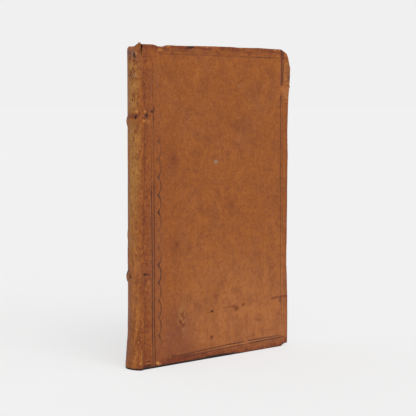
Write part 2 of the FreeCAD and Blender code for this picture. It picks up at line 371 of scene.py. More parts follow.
def start_material(name, marks=()):
    """A new material: its tree, its shader, Object coordinates in mm and the mesh's marks."""
    material = bpy.data.materials.new(name)
    material.use_nodes = True
    tree = material.node_tree
    shader = tree.nodes["Principled BSDF"]
    metres = add_node(tree, "ShaderNodeTexCoord").outputs["Object"]
    scaled = add_node(tree, "ShaderNodeMapping", {}, {"Vector": metres, "Scale": (MM, MM, MM)})
    found = {}
    for label in marks:
        layer = {"attribute_type": "GEOMETRY", "attribute_name": label}
        found[label] = add_node(tree, "ShaderNodeAttribute", layer).outputs["Fac"]
    return material, tree, shader, scaled.outputs[0], found


def clouds(tree, patterns, distortion=0.0):
    """Seeded noise patterns by name, from (name, place, size in mm, stretch in x, y and z, detail,
    roughness): a stretch of 4 draws the pattern out four times along that axis. Distortion curls
    every pattern, which keeps crossed ones from looking woven."""
    found = {}
    for name, place, size, stretch, detail, roughness in patterns:
        shape = {"Vector": place, "Scale": [1 / (size * share) for share in stretch]}
        mapped = add_node(tree, "ShaderNodeMapping", {}, shape).outputs[0]
        links = {
            "Vector": mapped, "Scale": 1.0, "Detail": detail, "Roughness": roughness,
            "Distortion": distortion,
        }
        found[name] = add_node(tree, "ShaderNodeTexNoise", {}, links).outputs["Fac"]
    return found


def lay_over(tree, tone, layers):
    """Colours laid over a tone one after another, from (source, low, high, strength, colour): a
    layer shows as its source goes from low to high, up to its strength, a number or a mark."""
    for source, low, high, strength, colour_over in layers:
        share = add_node(
            tree, "ShaderNodeMapRange", {}, {0: source, 1: low, 2: high, 3: 0.0, 4: strength}
        )
        mixed = {0: share.outputs[0], 6: tone, 7: colour_over}
        tone = add_node(tree, "ShaderNodeMix", {"data_type": "RGBA"}, mixed).outputs[2]
    return tone


def finish_material(tree, shader, tone, roughness, specular, heights):
    """Give a shader its colour, its roughness as a number or a socket, its specular level, and
    bumps one on another from (height, strength, depth in mm)."""
    tree.links.new(tone, shader.inputs["Base Color"])
    if isinstance(roughness, bpy.types.NodeSocket):
        tree.links.new(roughness, shader.inputs["Roughness"])
    else:
        shader.inputs["Roughness"].default_value = roughness
    shader.inputs["Specular IOR Level"].default_value = specular
    normal = None
    for height, strength, depth in heights:
        links = {"Height": height, "Strength": strength, "Distance": depth / MM}
        if normal is not None:
            links["Normal"] = normal
        normal = add_node(tree, "ShaderNodeBump", {}, links).outputs["Normal"]
    tree.links.new(normal, shader.inputs["Normal"])


def polished_calf(name, colours, sizes, back=False):
    """Vegetable-tanned calf, pasted wet and polished: warm, uneven brown with a low soft shine,
    darker where tools and dirt pressed in and where shadow is painted on, and pale where the
    surface has rubbed away or a highlight is painted on."""
    marks = (
        "line_gap", "line_press", "dirt_and_shade", "rubbed", "stained", "sunned", "faded", "dulled",
        "bloomed",
    )
    material, tree, shader, place, mark = start_material(name, marks)
    drawn_out = 5.5 if back else 2.2
    see = clouds(tree, (
        # Uneven take-up of the dye, in patches as wide as a hand and as wide as a thumb
        ("hide", place, 30, (1, 1, 1), 2.0, 0.5),
        ("dull", place, 16, (1, 1, 1.4), 4.0, 0.6),
        ("patch", place, 7, (1, 1, 1), 4.0, 0.62),
        # Fine wiping marks across and up the leather
        ("wiped_across", place, 1.9, (2.2, 2.2, 1), 5.0, 0.68),
        ("wiped_up", place, 1.5, (1, 1, 3 + 4 * back), 4.0, 0.68),
        # Scuffs and flakes run up and down with the handling
        ("scuff", place, 1.5, (1, 1, drawn_out), 4.0, 0.7),
        ("flake", place, 0.9, (1, 1, 2.2), 3.0, 0.75),
        # Hair follicles of the hide, drawn coarse enough to show
        ("grain", place, sizes.grain, (1, 1, 1), 3.0, 0.75),
    ), 0.6)
    # The edges of worn and dirty places are broken up by the flaking surface
    torn = {}
    for label, source in (("dirt_and_shade", "flake"), ("rubbed", "scuff"), ("stained", "patch")):
        parts = {0: see[source], 1: 0.9, 2: mark[label]}
        broken = add_node(tree, "ShaderNodeMath", {"operation": "MULTIPLY_ADD"}, parts)
        torn[label] = broken.outputs[0]
    shown = 1.3 if back else 0.75
    half_line = sizes.tool_width / 2
    tone = lay_over(tree, colours.calf, (
        (mark["faded"], 0.0, 1.0, 1.0, colours.calf_faded),
        (see["hide"], 0.5, 0.32, 0.35, colours.calf_deep),
        (see["dull"], 0.5, 0.72, 0.35, colours.calf_mauve),
        (see["patch"], 0.52, 0.3, 0.6, colours.calf_deep),
        (see["patch"], 0.52, 0.72, 0.4, colours.calf_light),
        (mark["sunned"], 0.0, 1.0, 1.0, colours.back_tan),
        (see["wiped_across"], 0.5, 0.7, 0.24, colours.calf_light),
        (see["wiped_across"], 0.5, 0.3, 0.34, colours.calf_deep),
        (see["wiped_up"], 0.5, 0.7, 0.18 + 0.42 * back, colours.calf_light),
        (see["wiped_up"], 0.5, 0.3, 0.24 + 0.5 * back, colours.calf_deep),
        (see["grain"], 0.5, 0.68, 0.3, colours.calf_light),
        (see["grain"], 0.5, 0.32, 0.4, colours.calf_deep),
        (mark["dulled"], 0.0, 1.0, 1.0, colours.calf_mauve),
        (torn["stained"], 0.62, 1.3, 0.9, colours.calf_stained),
        (see["scuff"], 0.55, 0.72, 0.55 * shown, colours.calf_light),
        (see["scuff"], 0.45, 0.3, 0.7 * shown, colours.calf_deep),
        (see["flake"], 0.6, 0.72, 0.6 * shown, colours.flake_light),
        (see["flake"], 0.42, 0.28, 0.75 * shown, colours.flake_deep),
        (torn["rubbed"], 0.78, 1.25, 1.0, colours.calf_rubbed),
        (mark["bloomed"], 0.0, 1.0, 1.0, colours.bloom),
        (mark["line_gap"], half_line + 0.16, half_line - 0.16, mark["line_press"], colours.tooled),
        (torn["dirt_and_shade"], 0.74, 1.2, 1.0, colours.dirt),
    ))
    polish = {0: see["patch"], 1: 0.35, 2: 0.7, 3: 0.5, 4: 0.66}
    shine = add_node(tree, "ShaderNodeMapRange", {}, polish).outputs[0]
    shader.inputs["IOR"].default_value = 1.45
    finish_material(tree, shader, tone, shine, 0.26, (
        (see["patch"], 0.4, 0.3),
        (see["scuff"], 0.55, 0.2),
        (see["flake"], 0.5, 0.14),
        (see["grain"], 0.5, 0.12),
    ))
    return material


def rag_paper(name, colours, edge=False, dirty_ends=False):
    """Handmade rag paper: cream and matt, browned unevenly, with dusty, darker edges and painted
    shade in the grooves between leaves. Inside the back it is glued, brown, and black with dust at
    the two ends."""
    material, tree, shader, place, mark = start_material(name, ("browned", "dirt_and_shade"))
    see = clouds(tree, (
        ("cloud", place, 22, (1, 1, 1), 4.0, 0.55),
        ("fibre", place, 0.7, (3, 1, 1), 3.0, 0.6),
        ("foxing", place, 3.4, (1, 1, 1), 0.0, 0.5),
        ("leaf", place, 0.22, (60, 1, 60), 2.0, 0.6),
    ))
    tone = lay_over(tree, colours.paper if edge else colours.endpaper, (
        (see["cloud"], 0.4, 0.7, 0.5, colours.paper_cloud),
        (see["fibre"], 0.4, 0.7, 0.25, colours.paper_fibre),
        (see["foxing"], 0.7, 0.86, 0.45, colours.foxing),
        (see["cloud"], -0.4, 0.6, mark["browned"], colours.browned),
        (see["leaf"] if edge else see["fibre"], 0.1, 0.6, mark["dirt_and_shade"], colours.paper_dirt),
    ))
    if dirty_ends:
        apart = add_node(tree, "ShaderNodeSeparateXYZ", {}, {"Vector": place}).outputs["Z"]
        tone = lay_over(tree, tone, (
            (see["cloud"], 0.0, 0.5, 0.8, colours.glued),
            (apart, LEAVES_HIGH - 10, LEAVES_HIGH - 6, 1.0, colours.dirt),
            (apart, LEAVES_LOW + 8, LEAVES_LOW + 2, 1.0, colours.dirt),
        ))
    # Laid lines of the mould, about a millimetre apart
    laid = {"Vector": place, "Scale": 1 / 20, "Distortion": 0.4, "Detail": 1.0}
    lines = add_node(tree, "ShaderNodeTexWave", {"bands_direction": "Z"}, laid).outputs["Fac"]
    finish_material(tree, shader, tone, 0.85, 0.2, (
        (see["cloud"], 0.3, 0.3), (lines, 0.12, 0.05), (see["fibre"], 0.25, 0.06),
    ))
    return material


def pasteboard(colours):
    """Boards pasted up from waste sheets: grey-brown, layered and fibrous on the cut edge."""
    material, tree, shader, place, mark = start_material("Layered pasteboard", ("dirt_and_shade",))
    see = clouds(tree, (
        ("sheets", place, 0.5, (12, 1, 12), 2.0, 0.5),
        ("cloud", place, 6, (1, 1, 1), 4.0, 0.55),
    ))
    tone = lay_over(tree, colours.board, (
        (see["sheets"], 0.4, 0.6, 1.0, colours.board_light),
        (see["cloud"], 0.4, 0.7, 0.5, colours.board_deep),
        (mark["dirt_and_shade"], 0.0, 1.0, 1.0, colours.dirt),
    ))
    bumps = ((see["sheets"], 0.5, 0.15), (see["cloud"], 0.3, 0.2))
    finish_material(tree, shader, tone, 0.9, 0.5, bumps)
    return material


def twisted_fibre(name, colours, tint, size_mm, stretch):
    """Hemp or linen: pale brown, matt, its strands twisted at a slant across the run."""
    material, tree, shader, place, _ = start_material(name)
    twist = {"Vector": place, "Scale": 1 / size_mm / 20, "Distortion": 2.0, "Detail": 2.0}
    slanted = {"bands_direction": "DIAGONAL"}
    strands = add_node(tree, "ShaderNodeTexWave", slanted, twist).outputs["Fac"]
    see = clouds(tree, (("fibre", place, size_mm / 3, stretch, 4.0, 0.6),))
    tone = lay_over(tree, tint, (
        (strands, 0.6, 0.0, 0.8, colours.fibre_deep),
        (see["fibre"], 0.4, 0.7, 0.5, colours.fibre_light),
    ))
    bumps = ((strands, 0.6, 0.2), (see["fibre"], 0.4, 0.05))
    finish_material(tree, shader, tone, 0.9, 0.5, bumps)
    return material


# Leather on the covers


# Edges of the worn front cover, as (place along the edge, millimetres beyond the plain rectangle)
HEAD_EDGE = (
    (0.0, 0.3), (8.0, 0.3), (9.6, 0.1), (11.1, -0.35), (12.6, -0.85), (14.1, -1.05), (15.5, -0.9),
    (17.0, -0.5), (18.5, 0.1), (20.0, 0.27), (28.0, 0.17), (36.0, 0.22), (44.0, 0.5), (68.0, 0.6),
    (76.0, 0.4), (84.0, 0.5), (93.0, 0.67), (101.0, 0.4), (108.0, 0.3), (120.0, 0.3),
)
FORE_EDGE = (
    (0.0, 0.85), (14.0, 1.05), (28.0, 0.92), (36.0, 0.65), (43.0, 0.4), (50.0, 0.0), (58.0, 0.05),
    (65.0, 0.27), (80.0, 0.43), (101.0, 0.5), (109.0, 0.56), (116.0, 0.78), (124.0, 0.5),
    (131.0, 0.38), (138.0, 0.6), (143.0, 0.88), (149.0, 0.9), (153.5, 1.3), (157.5, 1.9),
    (161.0, 2.4), (165.0, 2.6), (169.0, 2.3), (173.0, 1.75), (180.0, 1.4),
)
TAIL_CHIP = ((111.3, 0.0), (112.1, 0.15), (113.0, 0.7), (113.8, 1.2), (114.6, 1.5), (120.0, 1.5))
# Head edge of the back cover, which has sunk beside its joint
BACK_HEAD_EDGE = ((0.0, -1.7), (2.0, -1.3), (3.5, -0.75), (5.5, -0.15), (7.5, 0.0), (120.0, 0.0))


def rounded(p, q, power):
    """Share by which a point of a square corner, p and q of the way out, is drawn in towards a
    superellipse of that power. It is 0 on the two axes and most on the diagonal."""
    norm = (np.maximum(p, 1e-9) ** power + np.maximum(q, 1e-9) ** power) ** (1 / power)
    shrink = np.maximum(p, q) / norm - 1
    return np.where((p > 0) & (q > 0), shrink, 0)


def worn_plane(across, up):
    """Where a point of the plain rectangle lies on the worn front cover: the edges follow the
    measured knots, with a frayed stretch of the fore-edge, and the head corner is a superellipse.
    Each shift fades out a few millimetres in from the edge."""
    near_head = smooth_step((up - (COVER_HEIGHT - EDGE_FADE)) / EDGE_FADE)
    near_tail = smooth_step((4.0 - up) / 4.0)
    near_fore = smooth_step((across - (COVER_WIDTH - EDGE_FADE)) / EDGE_FADE)
    teeth = np.maximum(ripple(up, 0, 0.9, 11, 2), -0.1) - 0.25 * (np.abs(up - 162.6) < 0.5)
    fray = 0.75 * teeth * smooth_step((8.5 - np.abs(up - FRAY_MIDDLE)) / 3)
    corner_across, corner_up = 7.2, 10.6
    p = np.clip((across - (COVER_WIDTH - corner_across)) / corner_across, 0, 1)
    q = np.clip((up - (COVER_HEIGHT - corner_up)) / corner_up, 0, 1)
    shrink = rounded(p, q, 2.5)
    wobble = 0.08 * ripple(across, up, 5, 5, 2)
    x = across + near_fore * (follow(up, FORE_EDGE) + fray + wobble)
    z = up + near_head * (follow(across, HEAD_EDGE) + wobble)
    z = z + near_tail * (follow(across, TAIL_CHIP) + 0.08 * np.maximum(ripple(across, 0, 4, 6), 0))
    return x + p * shrink * corner_across, z + q * shrink * corner_up


def plain_plane(across, up):
    """Where a point of the plain rectangle lies on the back cover: both corners slightly rounded,
    and the head edge sunk beside the joint."""
    radius = 1.8
    p = np.clip((across - (COVER_WIDTH - radius)) / radius, 0, 1)
    low = np.clip((radius - up) / radius, 0, 1)
    high = np.clip((up - (COVER_HEIGHT - radius)) / radius, 0, 1)
    shrink = rounded(p, np.maximum(low, high), 2.0)
    near_head = smooth_step((up - (COVER_HEIGHT - 5.0)) / 5.0)
    wobble = 0.1 * ripple(across, up, 6, 15, 2)
    near_fore = smooth_step((across - (COVER_WIDTH - EDGE_FADE)) / EDGE_FADE)
    z = up + (high - low) * shrink * radius
    z = z + near_head * (follow(across, BACK_HEAD_EDGE) + wobble)
    return across + p * shrink * radius + near_fore * wobble, z


# Blind lines of the front cover: (height: place across from the joint) and (height: press)
UPRIGHT_LINES = (
    # First and second fillet beside the joint
    (
        ((2, 7.4), (8, 7.3), (16, 7.05), (24, 6.85), (55, 6.95), (79, 6.8), (94, 6.5), (124, 6.4)),
        ((1, 0.7), (5, 1.0), (72, 1.0), (98, 0.95), (104, 0.6), (116, 0.5), (128, 0.0)),
    ),
    (
        ((2, 8.95), (10, 8.9), (16, 8.75), (24, 8.35), (55, 8.45), (112, 8.35), (133, 7.9),
         (149, 7.7), (157, 7.3)),
        ((1, 0.7), (5, 1.0), (70, 1.0), (98, 0.95), (106, 0.65), (126, 0.5), (170, 0.4),
         (175, 0.0)),
    ),
    # Crease where the leather bends over the joint
    (
        ((2, 0.6), (9, 0.7), (25, 1.2), (48, 1.3), (70, 0.6), (87, 0.8), (110, 1.15),
         (133, 1.55), (150, 1.6), (164, 0.9)),
        ((1, 0.2), (20, 0.5), (50, 0.45), (62, 0.15), (75, 0.4), (110, 0.6), (150, 0.45),
         (170, 0.35), (178, 0.1)),
    ),
    # The two fillets along the fore-edge, broken where the leather was mended
    (
        ((3, 112.4), (16, 112.1), (24, 111.6), (35, 111.2), (53, 111.05), (65, 110.75),
         (84, 110.55), (150, 110.35), (158, 110.9), (168, 111.1), (178, 110.9)),
        ((3, 0.1), (14, 0.45), (24, 0.6), (60, 0.5), (80, 0.7), (148, 0.8), (152, 0.9),
         (154.5, 0.0), (157, 0.0), (159, 1.0), (178, 1.0)),
    ),
    (
        ((3, 114.0), (59, 113.4), (78, 112.4), (108, 112.1), (132, 111.95), (150, 111.8),
         (162, 112.3), (178, 112.9)),
        ((3, 0.1), (12, 0.25), (24, 0.3), (58, 0.4), (80, 0.6), (146, 0.5), (150, 0.6),
         (152, 0.0), (159, 0.0), (161, 0.85), (176, 1.0)),
    ),
)
# The same along the tail and the head: (place across: height) and (place across: press)
LEVEL_LINES = (
    (
        ((20, 4.8), (34, 4.95), (42, 5.5), (52, 5.85), (61, 6.15), (66, 6.45), (76, 6.5),
         (81, 6.8), (112, 6.9)),
        ((18, 0.0), (24, 0.75), (50, 0.85), (58, 0.95), (79.5, 0.9), (80.5, 0.15), (82.5, 0.15),
         (83.5, 1.0), (96, 0.9), (112, 0.5), (113, 0.0)),
    ),
    (
        ((26, 3.4), (42, 3.8), (56, 4.65), (71, 4.7), (81, 5.0), (91, 5.3), (107, 5.6), (114, 5.7)),
        ((26, 0.0), (32, 0.5), (56, 0.7), (79.5, 0.75), (80.5, 0.15), (82.5, 0.15), (83.5, 0.95),
         (114, 0.95), (115, 0.0)),
    ),
    (
        ((12, 175.4), (56, 175.15), (112, 174.9)),
        ((10, 0.0), (14, 0.45), (60, 0.4), (85, 0.5), (92, 0.75), (104, 0.6), (112, 0.0)),
    ),
    (
        ((12, 177.0), (51, 177.0), (61, 177.7), (100, 178.3)),
        ((12, 0.0), (16, 0.35), (60, 0.3), (96, 0.25), (104, 0.0)),
    ),
)
# The scalloped roll by height: its press, and how much of that the arcs between the cusps have
ROLL_PRESS = (
    (6, 0), (16, 0.5), (26, 0.85), (50, 0.95), (58, 0.85), (68, 0.5), (78, 0.55), (85, 0.8),
    (112, 0.8), (126, 0.5), (136, 0.3), (172, 0.25), (176, 0),
)
ROLL_ARCS = ((56, 0.85), (66, 0.5), (76, 0.5), (84, 0.8), (112, 0.8), (120, 0.5))


def fillet_lines(x, z, sizes, front):
    """Straight tooled lines as (distance in mm, press from 0 to 1) pairs. On the worn front cover
    they follow the measured places, and are dotted where the leather is rubbed."""
    worn = 0.85 + 0.25 * ripple(x, z, 7, 21)
    if front:
        dotted = np.clip(0.75 + 0.9 * ripple(x / 1.4, z / 1.4, 1, 23, 2), 0, 1.1)
        lines = []
        for table, along, across in ((UPRIGHT_LINES, z, x), (LEVEL_LINES, x, z)):
            for places, strengths in table:
                press = follow(along, strengths)
                broken = dotted + press * (1 - dotted)
                lines.append((across - follow(along, places), press * worn * broken))
    else:
        gap = sizes.fillet_gap
        right = COVER_WIDTH - sizes.border_fore
        top = COVER_HEIGHT - sizes.border_head
        waver = 0.14 * ripple(z, x / 9, 26, 8, 2)
        lines = [(x - sizes.border_joint - step - waver, 0.9 * worn) for step in (0, gap)]
        lines += [(x - right + step - waver, 0.8 * worn) for step in (0, gap)]
        lines += [(z - top + step, 0.7 * worn) for step in (0, gap)]
        lines += [(z - sizes.border_tail - step, 0.8 * worn) for step in (0, gap)]
    return [(np.abs(distance), press) for distance, press in lines]


def scallop_line(x, z, sizes):
    """Scalloped roll as (distance, press): arcs about centres one pitch apart, which meet in cusps.
    The cusps are pressed hardest, and above the middle little else of the roll is left."""
    radius = ((sizes.scallop_pitch / 2) ** 2 + sizes.scallop_bulge ** 2) / (2 * sizes.scallop_bulge)
    centre = sizes.scallop_start + sizes.scallop_bulge - radius
    turns = (z - sizes.scallop_first) / sizes.scallop_pitch
    along = (turns - np.floor(turns) - 0.5) * sizes.scallop_pitch
    uneven = 0.14 * ripple(z, 0, 4, 31, 2)
    distance = np.abs(np.hypot(x - centre - uneven, along) - radius)
    cusp = smooth_step((np.abs(along) / sizes.scallop_pitch - 0.33) / 0.15)
    arcs = follow(z, ROLL_ARCS)
    press = 1.15 * follow(z, ROLL_PRESS) * (arcs + (0.95 - arcs) * cusp)
    press = press * (0.85 + 0.5 * ripple(x, z, 3, 33, 2))
    return np.where(x > centre, distance - 0.06 - 0.12 * cusp, 9.0), press


def tooling(x, z, sizes, front):
    """Distance to the nearest tooled line and that line's press."""
    lines = fillet_lines(x, z, sizes, front)
    if front:
        lines.append(scallop_line(x, z, sizes))
    distance = np.full(x.shape, 9.0)
    press = np.zeros(x.shape)
    for gap, strength in lines:
        nearer = (gap < distance) & (strength > 0.02)
        press = np.where(nearer, strength, press)
        distance = np.where(nearer, gap, distance)
    return np.maximum(distance, 0), np.clip(press, 0, 1)


# Marks on the front cover: centre across and up, size across and up, and strength
DARK_SPOTS = (
    (53.2, 27.6, 1.1, 0.9, 0.9), (50.4, 27.2, 2, 0.5, 0.5), (52.8, 12.4, 1.1, 1, 0.5),
    (38.9, 49.7, 1, 1, 0.5), (56.1, 36.2, 1.2, 1.1, 0.2), (73.4, 27.3, 1.6, 1, 0.25),
    (110.4, 28.6, 0.7, 1.4, 0.72), (110.8, 22.5, 0.7, 1.2, 0.4), (109.4, 62, 1.4, 0.7, 0.4),
    (3, 141.4, 1.3, 1.7, 0.9), (7, 143.4, 1.5, 1.1, 0.75), (8.4, 145.6, 0.5, 1.9, 0.62),
    (8, 139.4, 0.5, 1.8, 0.66), (8, 134.6, 0.5, 1, 0.5), (1.2, 53.4, 1.8, 0.8, 0.75),
    (4.4, 53.2, 2, 0.6, 0.5), (0.4, 48, 0.6, 0.8, 0.6), (3.6, 4.4, 3.4, 0.35, 0.72),
    (3.4, 2.2, 4.4, 0.7, 0.75), (12.4, 1.2, 0.8, 1, 0.8), (31.5, 4, 3.4, 1, 0.45),
    (22, 5.6, 3.2, 0.7, 0.35), (47, 3.6, 2.2, 0.8, 0.4), (22.6, 176.2, 1, 1.4, 0.42),
    (36.5, 179.3, 5, 0.45, 0.8), (34, 178.4, 4, 0.8, 0.42), (62, 177, 5, 0.9, 0.3),
    (84, 177.6, 4, 0.9, 0.35), (101, 176.4, 3, 0.7, 0.35), (111.6, 176.8, 0.9, 2, 0.5),
    (16, 178.4, 1.2, 0.5, 0.5), (2.2, 173.4, 3.4, 0.5, 0.5), (1.2, 171.6, 2.2, 0.5, 0.4),
    (4.4, 166, 1.6, 1, 0.3), (109, 118, 1.6, 3.4, 0.3), (86, 118, 1.3, 2.4, 0.32),
    (78, 104, 1.5, 2, 0.3), (96, 133, 1.8, 1.8, 0.3), (8.6, 101, 0.9, 2.8, 0.42),
    (9.2, 109, 0.8, 1.6, 0.35), (25.6, 68.6, 1.3, 2.3, 0.44), (23.4, 117.2, 1, 2.4, 0.45),
    (69.2, 88.4, 0.9, 2.4, 0.44), (66.4, 93.2, 1, 1, 0.38), (26.8, 27.2, 0.6, 1.2, 0.62),
    (32.6, 27.6, 0.5, 2.2, 0.6), (29.2, 23.2, 0.9, 0.6, 0.42), (28.8, 18.6, 0.6, 1.2, 0.6),
)
DULL_PLACES = (
    (26, 16, 14, 16, 0.5), (10, 60, 6, 40, 0.3), (10.6, 162, 0.8, 10, 0.4), (6.2, 160, 0.8, 8, 0.3),
)
GREY_SCUFFS = (
    (56.1, 114.4, 1.1, 0.8, 1), (75, 158, 1, 0.5, 0.3),
)
PALE_SCUFFS = (
    (28.4, 26.4, 1.4, 1.6, 0.15), (31, 30, 0.9, 2, 0.25), (30.6, 20.6, 0.8, 2.4, 0.25),
    (26.8, 22.8, 1, 1, 0.2), (13.2, 177.5, 2.4, 0.6, 0.8), (19, 177.3, 2, 0.7, 0.45),
    (10.2, 2.9, 1.8, 1, 0.85), (12.2, 1.6, 1.6, 0.7, 0.75), (3.4, 3.4, 3.2, 0.45, 0.55),
    (4.2, 49, 1.8, 1.9, 0.6), (2, 45.6, 1, 2, 0.35), (8.6, 47.6, 0.9, 1.6, 0.4),
    # The third spot of this row, just above the upper band, is a painted highlight
    (1.2, 175.6, 0.7, 3.8, 0.4), (1, 138.8, 2.2, 1.2, 0.4), (1.8, 143.6, 0.9, 0.8, 0.6),
    (4.6, 138.8, 2.4, 2, 0.3), (114.8, 20.5, 1, 5, 0.6), (115.2, 47, 0.8, 6, 0.3),
    (114.6, 100, 0.7, 12, 0.2),
)
CLOUDS = (
    (72.8, 27.2, 2, 1.6, 0.85), (78.6, 29, 1.6, 0.9, 0.5), (52.8, 12.4, 1.3, 1.2, 0.7),
    (56.1, 36.2, 1.8, 1.6, 0.6), (24, 68, 5, 6, 0.27), (23, 116.3, 3.6, 5, 0.3),
    (43, 101, 8, 7, 0.2), (68.3, 89.2, 5, 6, 0.34), (24, 22, 11, 17, 0.42), (38, 6, 22, 6, 0.34),
    (60, 135, 26, 20, 0.12), (98, 112, 12, 34, 0.14), (22, 140, 9, 34, 0.14),
    (20, 98, 13, 32, 0.22),
)


def joint_marks(away, z):
    """Marks along the front joint, by distance from it: positive over the cover and negative over
    the back. Both leathers take them from here, so that the seam between them doesn't show."""
    level = follow(z, ((0, 0.5), (20, 0.44), (60, 0.34), (100, 0.28), (140, 0.28), (180, 0.32)))
    lift = follow(z, (
        (0, 1.0), (22, 0.9), (40, 0.3), (60, 0.2), (130, 0.1), (137, 0.5), (143, 0.5), (147, 0.0),
    ))
    wavy = ripple(away, z / 4, 1.0, 75, 2)
    flecks = smooth_step(ripple(away * 2.6, z / 2.2, 1.0, 79, 2) * 3 - 0.2)
    mottled = ripple(away * 1.2, z / 1.3, 0.9, 101, 2)
    creased = soft_line(away - 2.0, 6.0)
    blotched = 1 + 0.5 * ripple(away, z / 2, 4, 77)
    return {
        "stained": 0.62 * level * soft_line(away - 0.9, 4.8) * blotched
        + 0.5 * creased * smooth_step(mottled * 3 - 0.5),
        "rubbed": 0.5 * soft_line(away + 1.6 - 0.7 * wavy, 1.8) * lift * flecks
        + 0.36 * creased * smooth_step(-mottled * 3 - 0.5),
        "dirt_and_shade": 0.3 * soft_line(away - 0.4, 0.5) * smooth_step(wavy * 2) * (z < 120),
    }


def cover_marks(x, z, sizes, front):
    """Marks for one cover's leather: dirt, rubbing, stains, bleaching, tool marks and some painted
    shadow and highlights, by place.
    """
    from_edge = np.minimum(np.minimum(z, COVER_HEIGHT - z), COVER_WIDTH - x)
    ragged = ripple(x, z, 3.5, 41)
    edge_dirt = smooth_step((3.2 + 1.8 * ragged - from_edge) / 3.0)
    edge_rub = smooth_step((0.9 + 0.9 * ragged - from_edge) / 1.0)
    gap, press = tooling(x, z, sizes, front)
    marks = {
        "line_gap": np.minimum(gap, 1),
        "line_press": press,
        "dirt_and_shade": 0.25 * edge_dirt * smooth_step(ripple(x, z, 2.5, 47) * 2),
        "rubbed": 0.55 * edge_rub * smooth_step(0.4 + ripple(x, z, 9, 43)),
        "stained": 0.4 * edge_dirt + 0.16 * smooth_step(ripple(x, z, 26, 45) + 0.35),
        "sunned": np.zeros(x.shape),
        "faded": 0.3 * smooth_step(ripple(x, z, 40, 53) + 0.2),
        "dulled": np.zeros(x.shape),
        "bloomed": np.zeros(x.shape),
    }
    for label, values in joint_marks(x, z).items():
        marks[label] = marks[label] + values
    if front:
        low_down = smooth_step((82 - z) / 60)
        marks["faded"] = low_down * smooth_step((x - 14) / 34) * (0.75 + 0.25 * ragged)
        add_border_marks(marks, x, z)
        add_knocks(marks, x, z)
        add_fore_edge_marks(marks, x, z)
    return marks


def add_border_marks(marks, x, z):
    """Dark, scuffed bands outside the tooling of the front cover at head and tail, painted shadow
    in the split at the head of the joint, and painted shadow along the tail edge on the table."""
    head_band = smooth_step((z - 175.2) / 0.8) * smooth_step((x - 5) / 6)
    tail_band = smooth_step((4.6 + 0.012 * x - z) / 1.0) * smooth_step((x - 9) / 3)
    marks["stained"] += head_band * (0.2 + 0.6 * ripple(x / 2, z, 1.6, 55))
    marks["stained"] += tail_band * (0.42 + 0.3 * ripple(x / 2, z, 1.6, 56))
    marks["stained"] += 0.1 * (soft_line(x - 9.6, 1.6) + soft_line(x - 3.2, 2.6))
    marks["rubbed"] += 0.5 * head_band * smooth_step(ripple(x / 2, z, 1.4, 57) * 2 - 0.3)
    marks["rubbed"] += 0.35 * tail_band * smooth_step(ripple(x / 2, z, 1.4, 58) * 2 - 0.3)
    # Painted shadow in the split at the head of the joint, on the cover's face beside it
    marks["dirt_and_shade"] += 1.2 * smooth_step((0.3 - x) / 0.3) * smooth_step((z - TEAR_FOOT) / 0.8)
    # Painted shadow along the tail edge, tallest where the edge has lifted off the table
    deep = follow(x, (
        (0, 1.4), (12, 1.3), (20, 1.15), (42, 1.1), (49, 1.5), (56, 1.75), (66, 1.5), (74, 0.8),
        (80, 0.35), (112, 0.2), (116, 0.5),
    ))
    marks["dirt_and_shade"] += 1.1 * smooth_step((deep + 0.15 - z) / 0.35)
    # Darker still at the chipped tail corner by the fore-edge
    marks["dirt_and_shade"] += 0.9 * smooth_step((x - 111.5) / 2) * smooth_step((2.4 - z) / 1.0)


def add_knocks(marks, x, z):
    """What use has left on the front cover: spots, clouds, scuffs, a crease and a scraped place."""
    dark = spots(x, z, DARK_SPOTS)
    marks["dirt_and_shade"] += dark
    marks["stained"] += 0.45 * dark + spots(x, z, CLOUDS)
    marks["rubbed"] += spots(x, z, PALE_SCUFFS)
    marks["dulled"] += spots(x, z, DULL_PLACES)
    marks["bloomed"] += spots(x, z, GREY_SCUFFS)
    broken = smooth_step((0.15 + ripple(x, z, 5, 51)) * 2) * smooth_step((x - 60) / 6)
    marks["stained"] += 0.6 * soft_line(above_crease(x, z), 0.8) * broken
    marks["dirt_and_shade"] += 0.22 * soft_line(above_crease(x, z), 0.4) * broken
    stretch = smooth_step((26 - z) / 5) * smooth_step((z - 11) / 5)
    marks["stained"] += 0.6 * soft_line(x - 81.6, 0.7) * stretch
    # Scraped place low down: tan where the surface is gone, with a dark torn rim
    scraped = soft_spot(x, z, (29.2, 25.0), (2.6, 6.0))
    torn = ripple(x, z / 1.6, 1.5, 64, 2)
    marks["sunned"] += 2.4 * scraped * smooth_step(torn * 2.5 + 0.6)
    marks["rubbed"] += 0.9 * scraped * smooth_step(torn * 3)
    marks["stained"] += 0.6 * scraped * smooth_step(-torn * 2.5 - 0.1)


